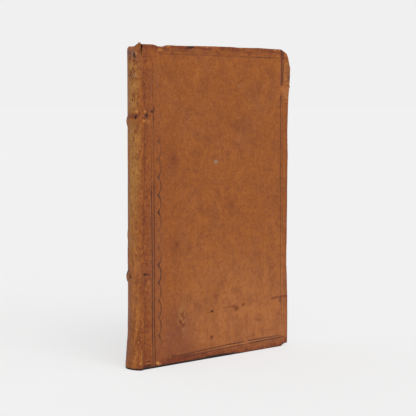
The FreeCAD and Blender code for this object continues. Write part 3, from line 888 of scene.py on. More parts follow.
def add_fore_edge_marks(marks, x, z):
    """The mended wedge, a strip of leather laid over the border, and the frayed, rubbed stretch of
    the fore-edge above it, with dirt in the corner."""
    wedge, rim = on_wedge(x, z)
    marks["faded"] = np.maximum(marks["faded"], 0.7 * wedge)
    marks["rubbed"] += 0.22 * wedge
    marks["stained"] *= 1 - 0.8 * wedge
    marks["stained"] += 0.5 * rim + 0.4 * soft_spot(x, z, (111.4, 150.5), (1.6, 2.6)) * (1 - wedge)
    marks["dirt_and_shade"] = marks["dirt_and_shade"] * (1 - 0.7 * wedge) + 0.3 * rim
    above = smooth_step((z - 158) / 2) * smooth_step((x - 113.4) / 0.8)
    tan = 0.4 * above * smooth_step((176 - z) / 6)
    marks["sunned"] += tan * (0.8 + 0.8 * ripple(x, z, 1.6, 60))
    marks["rubbed"] += 0.5 * above * smooth_step(ripple(x, z, 1.3, 62, 2) * 3 - 0.4)
    marks["stained"] += 0.5 * soft_spot(x, z, (112.2, 176.4), (1.8, 2.2))
    marks["stained"] += 0.55 * soft_line(x - 111.8, 1.1) * (z > 158.5)
    frayed = smooth_step((x - 117.4) / 0.6) * smooth_step((8 - np.abs(z - FRAY_MIDDLE)) / 4)
    marks["dirt_and_shade"] += frayed * (0.4 + 0.5 * ripple(x, z, 1.0, 59, 2))


def above_crease(x, z):
    """Distance above the crease that a knock has left on the front cover."""
    return z - CREASE_START[1] - CREASE_SLOPE * (x - CREASE_START[0])


def on_wedge(x, z):
    """1 on the wedge of mending leather, and 1 along its slanting lower edge."""
    from_side = x - (COVER_WIDTH - WEDGE_WIDTH)
    lower_edge = WEDGE_FOOT - WEDGE_SLOPE * from_side
    inner = smooth_step((from_side + 0.4) / 0.6)
    above = smooth_step((z - lower_edge) / 0.5) * smooth_step((WEDGE_TOP - z) / 3.0)
    return above * inner, soft_line(z - lower_edge + 0.3, 0.45) * inner


def cover_relief(x, z, sizes, front):
    """Height of the leather over its flat plane, in mm: tooling pressed in, cords pressed out,
    an uneven board, and dents. It is flat at the joint, where the back's leather meets it."""
    gap, press = tooling(x, z, sizes, front)
    height = -sizes.tool_depth * press * soft_line(gap, 0.75 * sizes.tool_width)
    height += 0.08 * ripple(x, z, 38, 61, 2) + 0.04 * ripple(x, z, 4, 63, 2) - 0.04
    for band in (BAND_UPPER, BAND_LOWER):
        along_slip = smooth_step(x / 1.5) * smooth_step((SLIP_LENGTH + 1 - x) / 8)
        height += 0.24 * soft_line(z - band, 2.2) * along_slip
    if front:
        wedge, rim = on_wedge(x, z)
        height += 0.14 * wedge - 0.12 * rim - 0.12 * spots(x, z, DARK_SPOTS)
        lump = 0.5 * soft_spot(x, z, (10.4, 2.4), (2.0, 1.2))
        height += lump * (1 + 0.7 * ripple(x, z, 0.9, 65, 2))
        height -= 0.12 * soft_line(above_crease(x, z), 0.6) * smooth_step((x - 60) / 6)
        height -= 0.5 * smooth_step((1.3 - z) / 1.3) * smooth_step((66 - x) / 8)
        height -= 0.15 * smooth_step((z - 175.8) / 1.2) * (0.6 + 0.6 * ripple(x / 3, z, 1.5, 67, 2))
    return np.minimum(height, 0.17) * smooth_step(x / 1.2)


def edge_profile(sizes):
    """Section of the leather round a board's edge, as (in from the edge, down from the outer face):
    a rounded shoulder, the edge, a second round, the turn-in, and back along its inner side."""
    r = sizes.edge_round
    turn = np.radians(np.linspace(0, 90, 6))
    outer = np.stack([r * (1 - np.sin(turn)), r * (1 - np.cos(turn))], -1)
    inner = np.stack([outer[::-1, 0], COVER_DEPTH - outer[::-1, 1]], -1)
    over = np.linspace(r, sizes.turn_in, 12)[1:]
    turn_in = np.stack([over, np.full(over.shape, COVER_DEPTH)], -1)
    thin = LEATHER / 2
    back = np.array([
        [sizes.turn_in, COVER_DEPTH - thin],
        [LEATHER, COVER_DEPTH - thin],
        [LEATHER, LEATHER],
    ])
    return np.concatenate([outer, inner, turn_in, back])


def mitre_shares(across, up, sizes):
    """Shares by which an inset at the fore-edge, tail and head acts at a point of a cover's edge:
    they fall off over the turn-in, so that turned sides meet in mitres at the corners."""
    reach = sizes.turn_in + 2
    fore = np.clip((across - (COVER_WIDTH - reach)) / reach, 0, 1)
    tail = np.clip((reach - up) / reach, 0, 1)
    head = np.clip((up - (COVER_HEIGHT - reach)) / reach, 0, 1)
    return fore, tail, head


def cover_grid(sizes, front):
    """Grid lines of a cover's face, across and up: fine along the tooling."""
    gap = sizes.fillet_gap
    first, second = sizes.border_joint, COVER_WIDTH - sizes.border_fore - gap
    fine_across = [first, first + gap, second, second + gap]
    if front:
        middle = sizes.scallop_start + sizes.scallop_bulge / 2
        fine_across += [1.1, middle - 0.9, middle + 0.9]
    top = COVER_HEIGHT - sizes.border_head
    fine_up = [sizes.border_tail, sizes.border_tail + gap, top - gap, top]
    across = spaced(0, COVER_WIDTH - sizes.edge_round, 1.05, fine_across)
    return across, spaced(sizes.edge_round, COVER_HEIGHT - sizes.edge_round, 0.47, fine_up, 0.25)


def carry_marks(marks, path, ring_x, ring_z, down, front):
    """Carry the face's marks on round the edges, where they give way to worn and stained leather.
    Under the board, on the turn-ins, it is cleaner."""
    ragged = ripple(ring_x, ring_z, 2.5, 73)
    round_edge = smooth_step(down / 0.6)
    under = smooth_step((down - 2.0) / 0.5)
    added = {
        "line_gap": round_edge,
        "stained": round_edge * (0.55 + 0.3 * ragged) * (1 - 0.6 * under),
        "rubbed": 0.35 * smooth_step(ragged + 0.2) * round_edge,
    }
    if front:
        # Painted shadow on the cover's joint end above the foot of the split at the head
        slit_shadow = smooth_step((0.4 - ring_x) / 0.3) * smooth_step((ring_z - TEAR_FOOT) / 0.8)
        # Painted shadow on the tail edge's round and underside, where the cover stands on the table
        floor_shadow = smooth_step((1.1 - ring_z) / 0.5) * smooth_step((2.6 - down) / 0.5)
        frayed = smooth_step((ring_x - 116.5) / 0.8) * smooth_step((7 - np.abs(ring_z - 162.5)) / 3)
        frayed = frayed * (0.5 + 1.0 * ripple(ring_z, down, 1.2, 69, 2))
        added["dirt_and_shade"] = 1.2 * slit_shadow + 1.1 * floor_shadow + 0.35 * frayed
        added["stained"] = added["stained"] + 0.9 * frayed
    for label, values in marks.items():
        on_edge = values.ravel()[path] * (1 - round_edge) + added.get(label, 0)
        marks[label] = np.concatenate([values.ravel(), on_edge.ravel()])


def cover_leather(name, sizes, front):
    """Leather over one cover, closed: a face whose grid is fine along the tooling, carried round
    three edges by a profile and in to the turn-ins, which meet in mitres at the corners."""
    plane = worn_plane if front else plain_plane
    across, up = cover_grid(sizes, front)
    base_x, base_z = np.meshgrid(across, up)
    x, z = plane(base_x, base_z)
    height = cover_relief(x, z, sizes, front)
    marks = cover_marks(x, z, sizes, front)
    face = np.stack([np.maximum(x, JOINT_CLEARANCE), height, z], -1).reshape(-1, 3)
    face_number = np.arange(face.shape[0]).reshape(x.shape)

    # The way round the three edges, on the plain rectangle and on the worn cover
    path = np.concatenate([face_number[0], face_number[1:, -1], face_number[-1, -2::-1]])
    path_x = base_x.ravel()[path].copy()
    path_z = base_z.ravel()[path].copy()
    path_x[path_x > COVER_WIDTH - 1.01 * sizes.edge_round] = COVER_WIDTH
    path_z[:len(across)] = 0
    path_z[-len(across):] = COVER_HEIGHT
    true_x, true_z = plane(path_x, path_z)
    shift_x, shift_z = true_x - path_x, true_z - path_z

    # The edge profile at every point of the way: shares of an inset shorten the sides at the mitres
    inset, down = edge_profile(sizes)[1:].T[:, :, None]
    share_fore, share_tail, share_head = mitre_shares(path_x, path_z, sizes)
    fade = smooth_step(1.1 - inset / 5)
    ring_x = path_x - inset * share_fore + shift_x * fade
    ring_z = path_z + inset * (share_tail - share_head) + shift_z * fade
    carried = height.ravel()[path] * smooth_step(1 - down / 0.9)
    cockle = 0.06 * ripple(ring_x, ring_z, 6, 71, 2) * (down == COVER_DEPTH)
    rings = np.stack([np.maximum(ring_x, JOINT_CLEARANCE), carried - down + cockle, ring_z], -1)
    ring_number = face.shape[0] + np.arange(len(inset) * len(path)).reshape(len(inset), -1)
    ring_number = np.concatenate([path[None], ring_number])
    carry_marks(marks, path, ring_x, ring_z, down, front)

    side = -1 if front else 1
    points = np.concatenate([face, rings.reshape(-1, 3)])
    points = np.stack([points[:, 0] + JOINT_X, side * (HALF + points[:, 1]), points[:, 2]], -1)
    inner_face = ring_number[-1].tolist()
    joint_end = np.concatenate([
        ring_number[:, 0], ring_number[::-1, -1], face_number[-2:0:-1, 0],
    ]).tolist()
    faces = quads(face_number).tolist() + quads(ring_number).tolist() + [inner_face, joint_end]

    # Near the joint the shading turns towards the back's
    bent = across < JOINT_REACH
    numbers = face_number[:, bent]
    sources = np.concatenate([face_number[:, 1:2], numbers[:, 1:]], 1)
    angles = np.repeat(side * JOINT_BEND * (1 - across[None, bent] / JOINT_REACH), len(up), 0)
    bend = (numbers.ravel(), sources.ravel(), angles.ravel())
    return make_piece(name, points, faces, marks, bend=bend)


# Leather over the back


# Marks on the back, in the same order: across is in mm round the back from its middle
BACK_DARK = (
    (-3.2, 140.6, 0.8, 1.9, 0.75), (0.4, 140.6, 3.4, 0.7, 0.36), (4.4, 139.8, 2.2, 0.8, 0.4),
    (-5.6, 142, 1.4, 0.5, 0.3), (3.5, 54.2, 1.2, 2, 0.72), (0.6, 53.2, 0.9, 1.4, 0.66),
    (-0.6, 51.8, 0.9, 0.8, 0.6), (1.6, 51, 1.2, 0.6, 0.5), (-4.2, 48.6, 0.6, 0.8, 0.4),
    (-2.4, 52.2, 0.5, 0.9, 0.4), (-1.6, 53.8, 0.5, 0.7, 0.45), (0.2, 50.2, 2, 0.4, 0.4),
    (2.6, 24, 0.9, 3, 0.3), (1, 29.5, 0.8, 2, 0.3), (1.8, 14.6, 0.8, 2.6, 0.26),
    (-2, 174.4, 0.8, 1.5, 0.8), (-3, 173.2, 0.6, 0.8, 0.5), (1.1, 175.6, 0.9, 1.2, 0.6),
    (1.4, 172.6, 0.8, 1, 0.55), (-2.2, 171.2, 1.6, 0.5, 0.5), (3.4, 176.4, 1, 0.8, 0.6),
    (-5.4, 176.4, 1, 0.8, 0.4), (0.2, 165.2, 0.5, 1, 0.72), (1.2, 163.4, 0.6, 0.9, 0.72),
    (-0.2, 162.2, 0.5, 0.5, 0.5), (-2.6, 161.6, 1.3, 0.4, 0.62), (-4.6, 161, 0.8, 0.5, 0.55),
    (2.8, 161, 1.4, 0.4, 0.4), (-3.6, 158, 0.5, 0.8, 0.4), (-1, 155.8, 0.8, 0.4, 0.35),
    (-4.4, 166.4, 0.5, 1.4, 0.4), (-4.4, 102, 0.7, 4, 0.34), (-4.2, 97, 0.6, 1.6, 0.3),
    (-3.6, 64, 0.5, 1.4, 0.34), (1.2, 25.6, 0.5, 3.2, 0.45), (-1.2, 22.6, 0.6, 2.4, 0.42),
    (0.2, 18, 0.5, 2, 0.3),
)
BACK_PALE = (
    # The first spot of this row, just above the upper band, is a painted highlight
    (-3.9, 143.6, 0.9, 1.6, 0.6), (-5.6, 138.8, 2.2, 1.2, 0.4), (-2.7, 163.2, 1.3, 0.7, 0.4),
    (-2.4, 168.4, 1, 1.8, 0.4), (0.8, 168, 0.8, 1.6, 0.3), (0.6, 154.4, 1.2, 1.6, 0.3),
    (-1.8, 119, 1.2, 3.4, 0.3), (-1, 134, 1.4, 2.4, 0.25), (-6, 109, 0.7, 8, 0.38),
    (-3.4, 66, 0.9, 2.6, 0.5), (-2.8, 31, 1, 3.4, 0.36), (-4, 24, 0.8, 4, 0.26),
    (-5.2, 13, 1, 7, 0.26), (-2.4, 36, 0.6, 3, 0.35), (-2.6, 6.4, 0.7, 3.6, 0.36),
)
BACK_GREY = (
    (-2.7, 163.4, 1.2, 0.7, 0.45), (-2, 174.4, 1.3, 1.4, 0.3), (0.6, 175.6, 1.6, 1, 0.25),
)
# Places where the light has turned the back tan, and where it has gone dull
BACK_TAN = (
    (0, 168, 4.2, 3, 0.9), (-1, 158.4, 4.6, 3.2, 0.75), (0.6, 152, 3.6, 5, 0.9),
    (-1.6, 146, 3.6, 3.4, 0.7), (-0.6, 128, 3.8, 9, 1.1), (-1.2, 110, 3.8, 11, 0.95),
    (0.4, 92, 3.4, 11, 0.7), (0.8, 72, 3.2, 10, 0.55),
)
BACK_DULL = (
    (0.6, 175.4, 6, 3.6, 1), (-4.6, 170, 2.4, 5, 0.3), (2.6, 14, 3.2, 11, 0.9),
    (2.2, 33, 2.6, 8, 0.4), (4.4, 60, 2, 20, 0.35), (4.6, 110, 1.8, 30, 0.35),
)

# How far the back stands out from a plain round, up its height, and the torn scrap at its head
BACK_PROFILE = (
    (0.0, 1.8), (4.0, 1.8), (6.0, 1.55), (9.0, 1.36), (13.0, 1.1), (16.0, 0.78), (20.0, 0.48),
    (26.0, 0.38), (40.0, 0.2), (53.0, 0.3), (66.0, 0.22), (74.0, 0.04), (100.0, 0.0),
    (133.0, -0.06), (141.0, -0.28), (161.0, -0.28), (167.0, -0.1), (180.0, 0.05),
)
SCRAP = (
    (-38.6, 0.6), (-37.4, 1.6), (-34.4, 2.0), (-31.5, 2.15), (-29.0, 2.2), (-26.8, 1.9),
    (-25.4, 1.2), (-24.0, 0.9), (-22.0, 1.3), (-19.0, 1.25), (-16.0, 0.7), (-12.5, 0.6),
    (-9.0, 0.25), (-5.0, 0.0), (4.0, 0.0), (40.0, 0.0), (45.0, 0.3),
)


def back_marks(angle, up):
    """Marks for the leather of the back, by place round it (mm from the middle) and up."""
    x = angle * BACK_RADIUS
    ragged = ripple(x, up, 3.0, 81)
    upper = smooth_step((up - 62) / 60)
    left = smooth_step((x + 7.4 + 1.6 * ripple(x, up / 2, 4.0, 82)) / 3.0)
    ends = smooth_step((7 - up) / 7) + smooth_step((up - 170) / 6)
    blotch = ripple(x, up / 1.6, 5.5, 87)
    # Low down, the pale places are thin wavy cracks
    weave = ripple((x + 0.5 * np.sin(up * 1.3)) * 2.4, up / 1.6, 0.62, 84, 2)
    cracks = np.where(up < 60, 0.1 + 0.85 * smooth_step(weave * 3.5 - 0.4), 1.0)
    wavy_zone = smooth_step((30 - up) / 8) * smooth_step((4.5 - np.abs(x + 4.2)) / 3)
    marks = {
        "line_gap": np.ones(x.shape),
        "line_press": np.zeros(x.shape),
        "dirt_and_shade": 1.1 * spots(x, up, BACK_DARK) + 0.25 * ends * smooth_step(ragged * 2),
        "rubbed": cracks * spots(x, up, BACK_PALE)
        + 0.5 * wavy_zone * smooth_step(weave * 3.5 - 0.6)
        + 0.3 * smooth_step(ripple(x, up / 3, 2.2, 83) * 2 - 0.5),
        "stained": 0.24 * smooth_step(blotch * 1.8) + 0.2 * ends + 0.6 * spots(x, up, BACK_DARK),
        "sunned": left
        * np.minimum(1, spots(x, up, BACK_TAN) * (0.8 + 0.4 * ragged) + 0.1 + 0.15 * upper),
        "faded": (1 - upper)
        * (0.55 + 0.35 * ripple(x, up / 3, 4.0, 88)) * smooth_step((up - 18) / 20),
        "dulled": spots(x, up, BACK_DULL) * (0.8 + 0.3 * ragged),
        "bloomed": spots(x, up, BACK_GREY),
    }
    # The upper panel is crazed: dark specks, and pale ones where the surface has flaked off
    panel = smooth_step((up - 142) / 6) * smooth_step((5.0 - np.abs(x + 0.6)) / 2)
    marks["stained"] += 0.9 * panel * smooth_step(ripple(x * 1.3, up, 0.8, 89, 2) * 3 - 0.6)
    marks["dirt_and_shade"] += 0.15 * panel * smooth_step(ripple(x * 1.3, up, 0.8, 89, 2) * 3 - 1.0)
    marks["rubbed"] += 0.6 * panel * smooth_step(ripple(x, up, 0.8, 90, 2) * 3 - 0.9)
    speckled = (1 - panel) * smooth_step(ripple(x * 1.2, up / 1.2, 0.9, 103, 2) * 3 - 0.6)
    marks["stained"] += 0.34 * speckled
    # The upper flank of the upper band is darkened, partly as stain in its wrinkles and partly as
    # painted shade of the raised band
    flank = soft_line(up - 141.0 + 0.4 * ripple(x, 0, 1.5, 92), 1.5)
    flank = flank * (0.75 + 0.5 * ripple(x, up, 1.1, 94, 2))
    marks["stained"] += 0.8 * flank
    marks["sunned"] *= 1 - 0.7 * soft_line(up - 141.0, 1.7)
    # Painted highlight: a pale broken line just above the upper band
    marks["rubbed"] += 0.35 * soft_line(up - 143.6, 0.6) * smooth_step(ripple(x, 0, 1.2, 96) * 3)
    near_joint = smooth_step((-x - 2.6) / 4.2)
    for label, values in joint_marks(-(x + BACK_SWEEP * BACK_RADIUS), up).items():
        marks[label] = marks[label] * (1 - 0.7 * near_joint) + values
    marks["faded"] *= 1 - near_joint
    marks["stained"] += 0.1 * near_joint * smooth_step((130 - up) / 60)
    marks["sunned"] *= 1 - smooth_step((-x - 4.6 + 1.6 * ripple(x, up / 2, 3.0, 98)) / 2.6)
    # Painted shadow along the foot of the back, where it stands on the table
    marks["dirt_and_shade"] += 1.1 * smooth_step((1.15 - up) / 0.3)
    marks["dirt_and_shade"] += 0.4 * smooth_step(1.2 - np.abs(up - 134.9) / 0.5) * smooth_step(0.3 + ragged)
    return marks


def band_form(up):
    """Swell of the two raised bands along the height: a round top with a tight foot."""
    total = np.zeros(up.shape)
    for band in (BAND_UPPER, BAND_LOWER):
        t = np.clip(np.abs(up - band) / (BAND_WIDTH / 2), 0, 1)
        total += (1 - t ** 2) ** 1.4
    return total


def back_profile():
    """Section of the back's leather as (radius, height) points: up the outside from the tail, over
    the headcap, and down the inside between the two caps. Also gives how many of its points lie on
    the straight outside, and how many on the outside with the headcap's round."""
    cap_low = LEAVES_LOW - ENDBAND
    cap_high = LEAVES_HIGH + ENDBAND
    inner_radius = BACK_RADIUS - LEATHER
    lip = BACK_RADIUS - CAP_DEPTH
    outer_up = np.concatenate([np.linspace(0, 0.5, 3), spaced(0.8, HEADCAP - CAP_ROUND, 0.42)])
    outer = np.stack([np.full(outer_up.shape, BACK_RADIUS), outer_up], -1)
    turn = np.radians(np.linspace(0, 90, 8))[1:]
    cap_radius = BACK_RADIUS - (CAP_DEPTH - 0.1) * (1 - np.cos(turn))
    cap = np.stack([cap_radius, HEADCAP - CAP_ROUND * (1 - np.sin(turn))], -1)
    inside = np.array([[lip, HEADCAP - 0.15], [lip, cap_high], [inner_radius, cap_high]])
    down = np.linspace(cap_high, cap_low, 30)[1:-1]
    down = np.stack([np.full(down.shape, inner_radius), down], -1)
    tail = np.array([[inner_radius, cap_low], [lip, cap_low], [lip, 0.1], [lip + 0.4, 0.0]])
    return np.concatenate([outer, cap, inside, down, tail]), len(outer), len(outer) + len(cap)


def back_swell(angle, up):
    """How far the back's leather stands out from its plain round: bands, wrinkles and the flared
    tail. Beside the joints it stays behind the plane that an opened cover turns to."""
    across = angle * BACK_RADIUS
    free = 1 - (np.abs(angle) / BACK_SWEEP) ** 10
    bands = band_form(up)
    swell = 0.95 * bands + 0.35 * soft_line(up - 75, 2.6) + follow(up, BACK_PROFILE)
    swell += 0.14 * ripple(across, up / 1.6, 4.5, 91) + 0.07 * ripple(across, up / 2.4, 1.2, 93, 2)
    swell -= 0.12 * np.minimum(spots(across, up, BACK_DARK), 0.7) * (1 - np.minimum(3 * bands, 1))
    swell -= 0.25 * smooth_step((0.6 - up) / 0.6)
    room = 1.2 * (BACK_SWEEP - np.abs(angle)) * BACK_RADIUS
    return np.minimum(free * np.maximum(swell, -0.42), room)


def back_leather(name):
    """Leather over the round back, closed: a profile turned about the back's upright axis and
    swelled. At the head of the front joint a tear cuts down beside a stuck-up scrap."""
    profile, straight, outside = back_profile()
    row = np.arange(len(profile))[:, None]
    radius, up = profile.T[:, :, None]
    angle = np.linspace(-BACK_SWEEP, BACK_SWEEP, 100)[None]
    radius, up, angle = np.broadcast_arrays(radius, up, angle)
    radius = radius + np.where(row < outside, back_swell(angle, up), 0)

    # The scrap stands up beside the tear; both are measured in degrees round the back
    degrees = np.degrees(angle)
    head = smooth_step((up - (HEADCAP - 4.5)) / 4.5)
    lumps = 1 + 0.22 * ripple(degrees, 0, 3.0, 95, 2)
    up = up + head * (follow(degrees, SCRAP) * lumps + 0.15 * ripple(degrees, 0, 5, 97, 2))
    curl = smooth_step(1 - np.abs(degrees + 31) / 9) * smooth_step((up - HEADCAP) / 1.2)
    radius = radius + 0.35 * curl
    slot = smooth_step(1.6 - np.abs(degrees + 40.7 - 0.5 * np.sin(up * 1.7)) / 2.2)
    up = np.where(up > TEAR_FOOT, TEAR_FOOT + (up - TEAR_FOOT) * (1 - 0.97 * slot), up)

    x = BACK_AXIS - radius * np.cos(angle)
    y = np.clip(radius * np.sin(angle), -HALF, HALF)
    points = np.stack([x + JOINT_X, y, up], -1).reshape(-1, 3)
    number = np.arange(points.shape[0]).reshape(angle.shape)
    loop = np.concatenate([number, number[:1]])
    faces = quads(loop).tolist() + [number[:, 0].tolist(), number[::-1, -1].tolist()]

    marks = back_marks(angle, up)
    torn = soft_line(degrees + 40.9, 5.0) * smooth_step((up - TEAR_FOOT + 1) / 2)
    marks["rubbed"] = np.maximum(marks["rubbed"], 0.6 * torn + 0.4 * curl)
    # Painted shadow: a dark line on the curled scrap, on its side towards the split
    marks["dirt_and_shade"] = marks["dirt_and_shade"] * (1 - torn) + 0.6 * soft_line(degrees + 36.5, 1.3) * curl
    outline = smooth_step(1.4 - np.abs(degrees + 26) / 16)
    outline = outline * (0.4 + 0.6 * ripple(degrees, up, 3, 99, 2))
    marks["dirt_and_shade"] += 0.8 * ((row >= straight) & (row < outside)) * outline
    marks["dirt_and_shade"] += 0.45 * head * soft_line(degrees + 25.0, 1.2) * smooth_step(up - HEADCAP + 1)
    # Painted shadow: the inside faces of the back's leather, seen through the split and under the
    # headcap, are fully dark except in the lowest 4 mm
    marks["dirt_and_shade"] = np.where((row >= outside) & (up > 4), 1.0, marks["dirt_and_shade"])

    # Near the joints the shading turns towards the covers'
    near = 1 - (BACK_SWEEP - np.abs(angle)) * BACK_RADIUS / JOINT_REACH
    bent = (near > 0) & (row < straight)
    sources = number.copy()
    sources[:, 0] = number[:, 1]
    sources[:, -1] = number[:, -2]
    bend = (number[bent], sources[bent], (-np.sign(angle) * JOINT_BEND * near)[bent])
    return make_piece(name, points, faces, marks, bend=bend)


# Boards


def board(name, sizes, front):
    """Pasteboard under one cover's leather, closed: a box of cells on the same worn outline, drawn
    in by the leather's thickness. Its edge at the joint shows when the cover is open."""
    plane = worn_plane if front else plain_plane
    side = -1 if front else 1

    def place(u, v, w):
        across = BOARD_GAP + (COVER_WIDTH - BOARD_GAP) * u
        up = COVER_HEIGHT * w
        x, z = plane(across, up)
        share_fore, share_tail, share_head = mitre_shares(across, up, sizes)
        inset = LEATHER + 0.05
        x = x - inset * share_fore
        z = z + inset * (share_tail - share_head)
        depth = LEATHER + 0.35 * (1 - v) + (COVER_DEPTH - LEATHER - 0.36) * v
        ruffled = 0.05 * ripple(w * 180, v * 9, 1.5, 141, 2) * (u == 0)
        return x + ruffled + JOINT_X, side * (HALF - depth), z

    points, faces, (u, _, w) = closed_box((70, 8, 110), place)
    # Painted shadow on the board's joint edge at the head, where it shows in the split
    board_slit_shadow = smooth_step((w - 0.94) * 60) * (u < 0.01)
    return make_piece(name, points, faces, {"dirt_and_shade": board_slit_shadow}, sharp=60.0)


# Paper


def text_block(name, sizes):
    """Leaves, closed: a box of cells whose ridges across the thickness are the single leaves. It
    has the round back, the hollow fore-edge, shoulders bent out at the joints and uneven leaves."""
    leaves = int(round(2 * LEAVES_HALF / sizes.leaf))

    def place(u, v, w):
        side = 2 * v - 1
        leaf = np.round(v * leaves * 2)
        odd = leaf % 2
        step = ripple(leaf * 0.7, 0, 1, 101, 1)
        y = side * LEAVES_HALF
        fold = BACK_AXIS - np.sqrt((BACK_AXIS - LEAVES_BACK) ** 2 - y ** 2)
        hollow = 1.0 * (1 - side ** 2)
        fore = LEAVES_FORE - hollow - 0.12 * odd + 0.1 * step
        fore = fore + 0.08 * ripple(leaf, w * 40, 6, 103, 2) - 0.08
        # Most rows of cells are spread evenly, and a few crowd at the shoulder
        crowd = np.interp(u, [0, 0.12, 0.2, 1.0], [0, 0.02, 0.045, 1.0])
        x = fold + (fore - fold) * crowd
        splay = 1 + (LEAVES_SHOULDER / LEAVES_HALF - 1) * smooth_step((0.2 - x) / 0.6)
        under_back = BACK_AXIS - np.minimum(x, 0.5)
        widest = np.sqrt((BACK_RADIUS - LEATHER - 0.08) ** 2 - under_back ** 2)
        short = 0.1 * odd + 0.06 * (step + 1)
        low = LEAVES_LOW + short + 0.05 * ripple(leaf, u * 60, 5, 105, 2) + 0.05
        high = LEAVES_HIGH - short + 0.05 * ripple(leaf, u * 60, 5, 107, 2) - 0.05
        return x + JOINT_X, np.clip(y * splay, -widest, widest), low + (high - low) * w

    points, faces, (u, v, w) = closed_box((72, 2 * leaves, 60), place)
    leaf = np.round(v * leaves * 2)
    on_edge = np.maximum.reduce([u > 0.999, w > 0.999, w < 0.001])
    # Dust on the leaves' edges, darker in the grooves between leaves as painted shade
    dust_and_leaf_shade = 0.45 + 0.3 * ripple(leaf * 0.6, u * 9 + w * 9, 1, 109, 2) + 0.25 * (leaf % 2)
    marks = {
        "dirt_and_shade": on_edge * dust_and_leaf_shade,
        "browned": 0.15 * (1 - smooth_step((1 - np.abs(2 * v - 1)) * 12)) + 0.2 * (w > 0.999),
    }
    return make_piece(name, points, faces, marks, sharp=60.0)


def pastedown(name, sizes, front):
    """Paper on the inner face of a board, closed: a sheet that shows the turn-ins' edges, the
    cords' ends and a brown shadow of the leather under it."""
    high = COVER_HEIGHT - PASTEDOWN_EDGE

    def from_turn_in(x, z):
        return np.minimum(np.minimum(z, COVER_HEIGHT - z), COVER_WIDTH - x) - sizes.turn_in

    def place(u, v, w):
        wavy_side = 0.25 * ripple(w * 60, 1, 14, 111, 2) * (u > 0.99)
        wavy_ends = 0.2 * ripple(u * 60, 2, 14, 113, 2) * (w * (1 - w) == 0)
        x = BOARD_GAP + (PASTEDOWN_WIDTH - BOARD_GAP) * u + wavy_side
        z = PASTEDOWN_EDGE + (high - PASTEDOWN_EDGE) * w + wavy_ends
        telegraph = 0.09 * smooth_step(0.5 - from_turn_in(x, z) / 1.2)
        for band in (BAND_UPPER, BAND_LOWER):
            telegraph += 0.12 * soft_spot(x, z, (SLIP_LENGTH - 1, band), (2.4, 2.6))
        thickness = PASTEDOWN * 0.55 + telegraph + 0.02 * ripple(x, z, 12, 115, 2)
        y = -HALF + COVER_DEPTH + thickness * v
        return x + JOINT_X, y if front else -y, z

    points, faces, _ = closed_box((96, 1, 140), place)
    x = points[:, 0] - JOINT_X
    z = points[:, 2]
    over = from_turn_in(x, z)
    from_paper_edge = np.minimum(np.minimum(z - PASTEDOWN_EDGE, high - z), PASTEDOWN_WIDTH - x)
    marks = {
        "browned": 0.75 * smooth_step((-over + 1.5 * ripple(x, z, 6, 117)) / 3.0)
        * (0.55 + 0.45 * smooth_step(1 - from_paper_edge / 6)),
        "dirt_and_shade": 0.25 * smooth_step(ripple(x, z, 20, 119)) + 0.2 * smooth_step((6 - x) / 6),
    }
    return make_piece(name, points, faces, marks)


def flyleaf(name, front):
    """Blank leaf next to a cover, closed: a thin sheet on the outermost leaf, slightly cockled,
    with a brown rim that the leather's turn-ins have left on it."""
    side = -1 if front else 1

    def place(u, v, w):
        x = 0.15 + (LEAVES_FORE - 0.5 - 0.15) * u + 0.2 * ripple(w * 80, 3, 18, 121, 2) * (u > 0.99)
        z = LEAVES_LOW + 0.35 + (LEAVES_HIGH - LEAVES_LOW - 0.7) * w
        cockle = 0.05 * smooth_step(x / 12) * (1 + ripple(x, z, 24, 123, 2))
        y = LEAVES_HALF + 0.01 + 0.08 * v + cockle
        return x + JOINT_X, side * y, z

    points, faces, _ = closed_box((80, 1, 110), place)
    x = points[:, 0] - JOINT_X
    z = points[:, 2]
    rim = np.minimum(np.minimum(z - LEAVES_LOW, LEAVES_HIGH - z), LEAVES_FORE - x)
    marks = {
        "browned": 0.6 * smooth_step((8.5 + 1.5 * ripple(x, z, 7, 125) - rim) / 4.0),
        "dirt_and_shade": 0.3 * smooth_step(ripple(x, z, 25, 127)) + 0.25 * smooth_step((2.0 - rim) / 2.0),
    }
    return make_piece(name, points, faces, marks)


def joint_paper(name, front):
    """Strip of the endpaper down in the inner joint, closed: a thin U whose one leg lines the
    leaves' shoulder and whose other lines the board's edge."""
    side = -1 if front else 1
    legs = np.array([
        [0.07, LEAVES_HALF + 0.08],
        [0.07, HALF - 1.6],
        [0.08, HALF - 0.95],
        [0.13, HALF - 0.74],
        [0.20, HALF - 0.70],
        [0.27, HALF - 0.74],
        [0.32, HALF - 0.95],
        [0.33, HALF - 1.6],
        [0.33, HALF - COVER_DEPTH - 0.05],
    ])
    steps = np.arange(len(legs)) / (len(legs) - 1)
    half_paper = 0.045

    def place(u, v, w):
        x = np.interp(u, steps, legs[:, 0])
        y = np.interp(u, steps, legs[:, 1])
        out_x = np.interp(u, [0, 0.35, 0.65, 1], [-1, -1, 1, 1])
        out_y = np.interp(u, [0, 0.35, 0.5, 0.65, 1], [0, 0, 1, 0, 0])
        shift = half_paper * (1 - 2 * v)
        z = PASTEDOWN_EDGE + (COVER_HEIGHT - 2 * PASTEDOWN_EDGE) * w
        return x + out_x * shift + JOINT_X, side * (y + out_y * shift), z

    points, faces, (u, _, _) = closed_box((8, 1, 60), place)
    z = points[:, 2]
    marks = {
        "browned": 0.25 + 0.2 * ripple(z, u * 4, 9, 129),
        "dirt_and_shade": 0.35 + 0.25 * ripple(z, u * 4, 5, 131),
    }
    return make_piece(name, points, faces, marks, sharp=70.0)


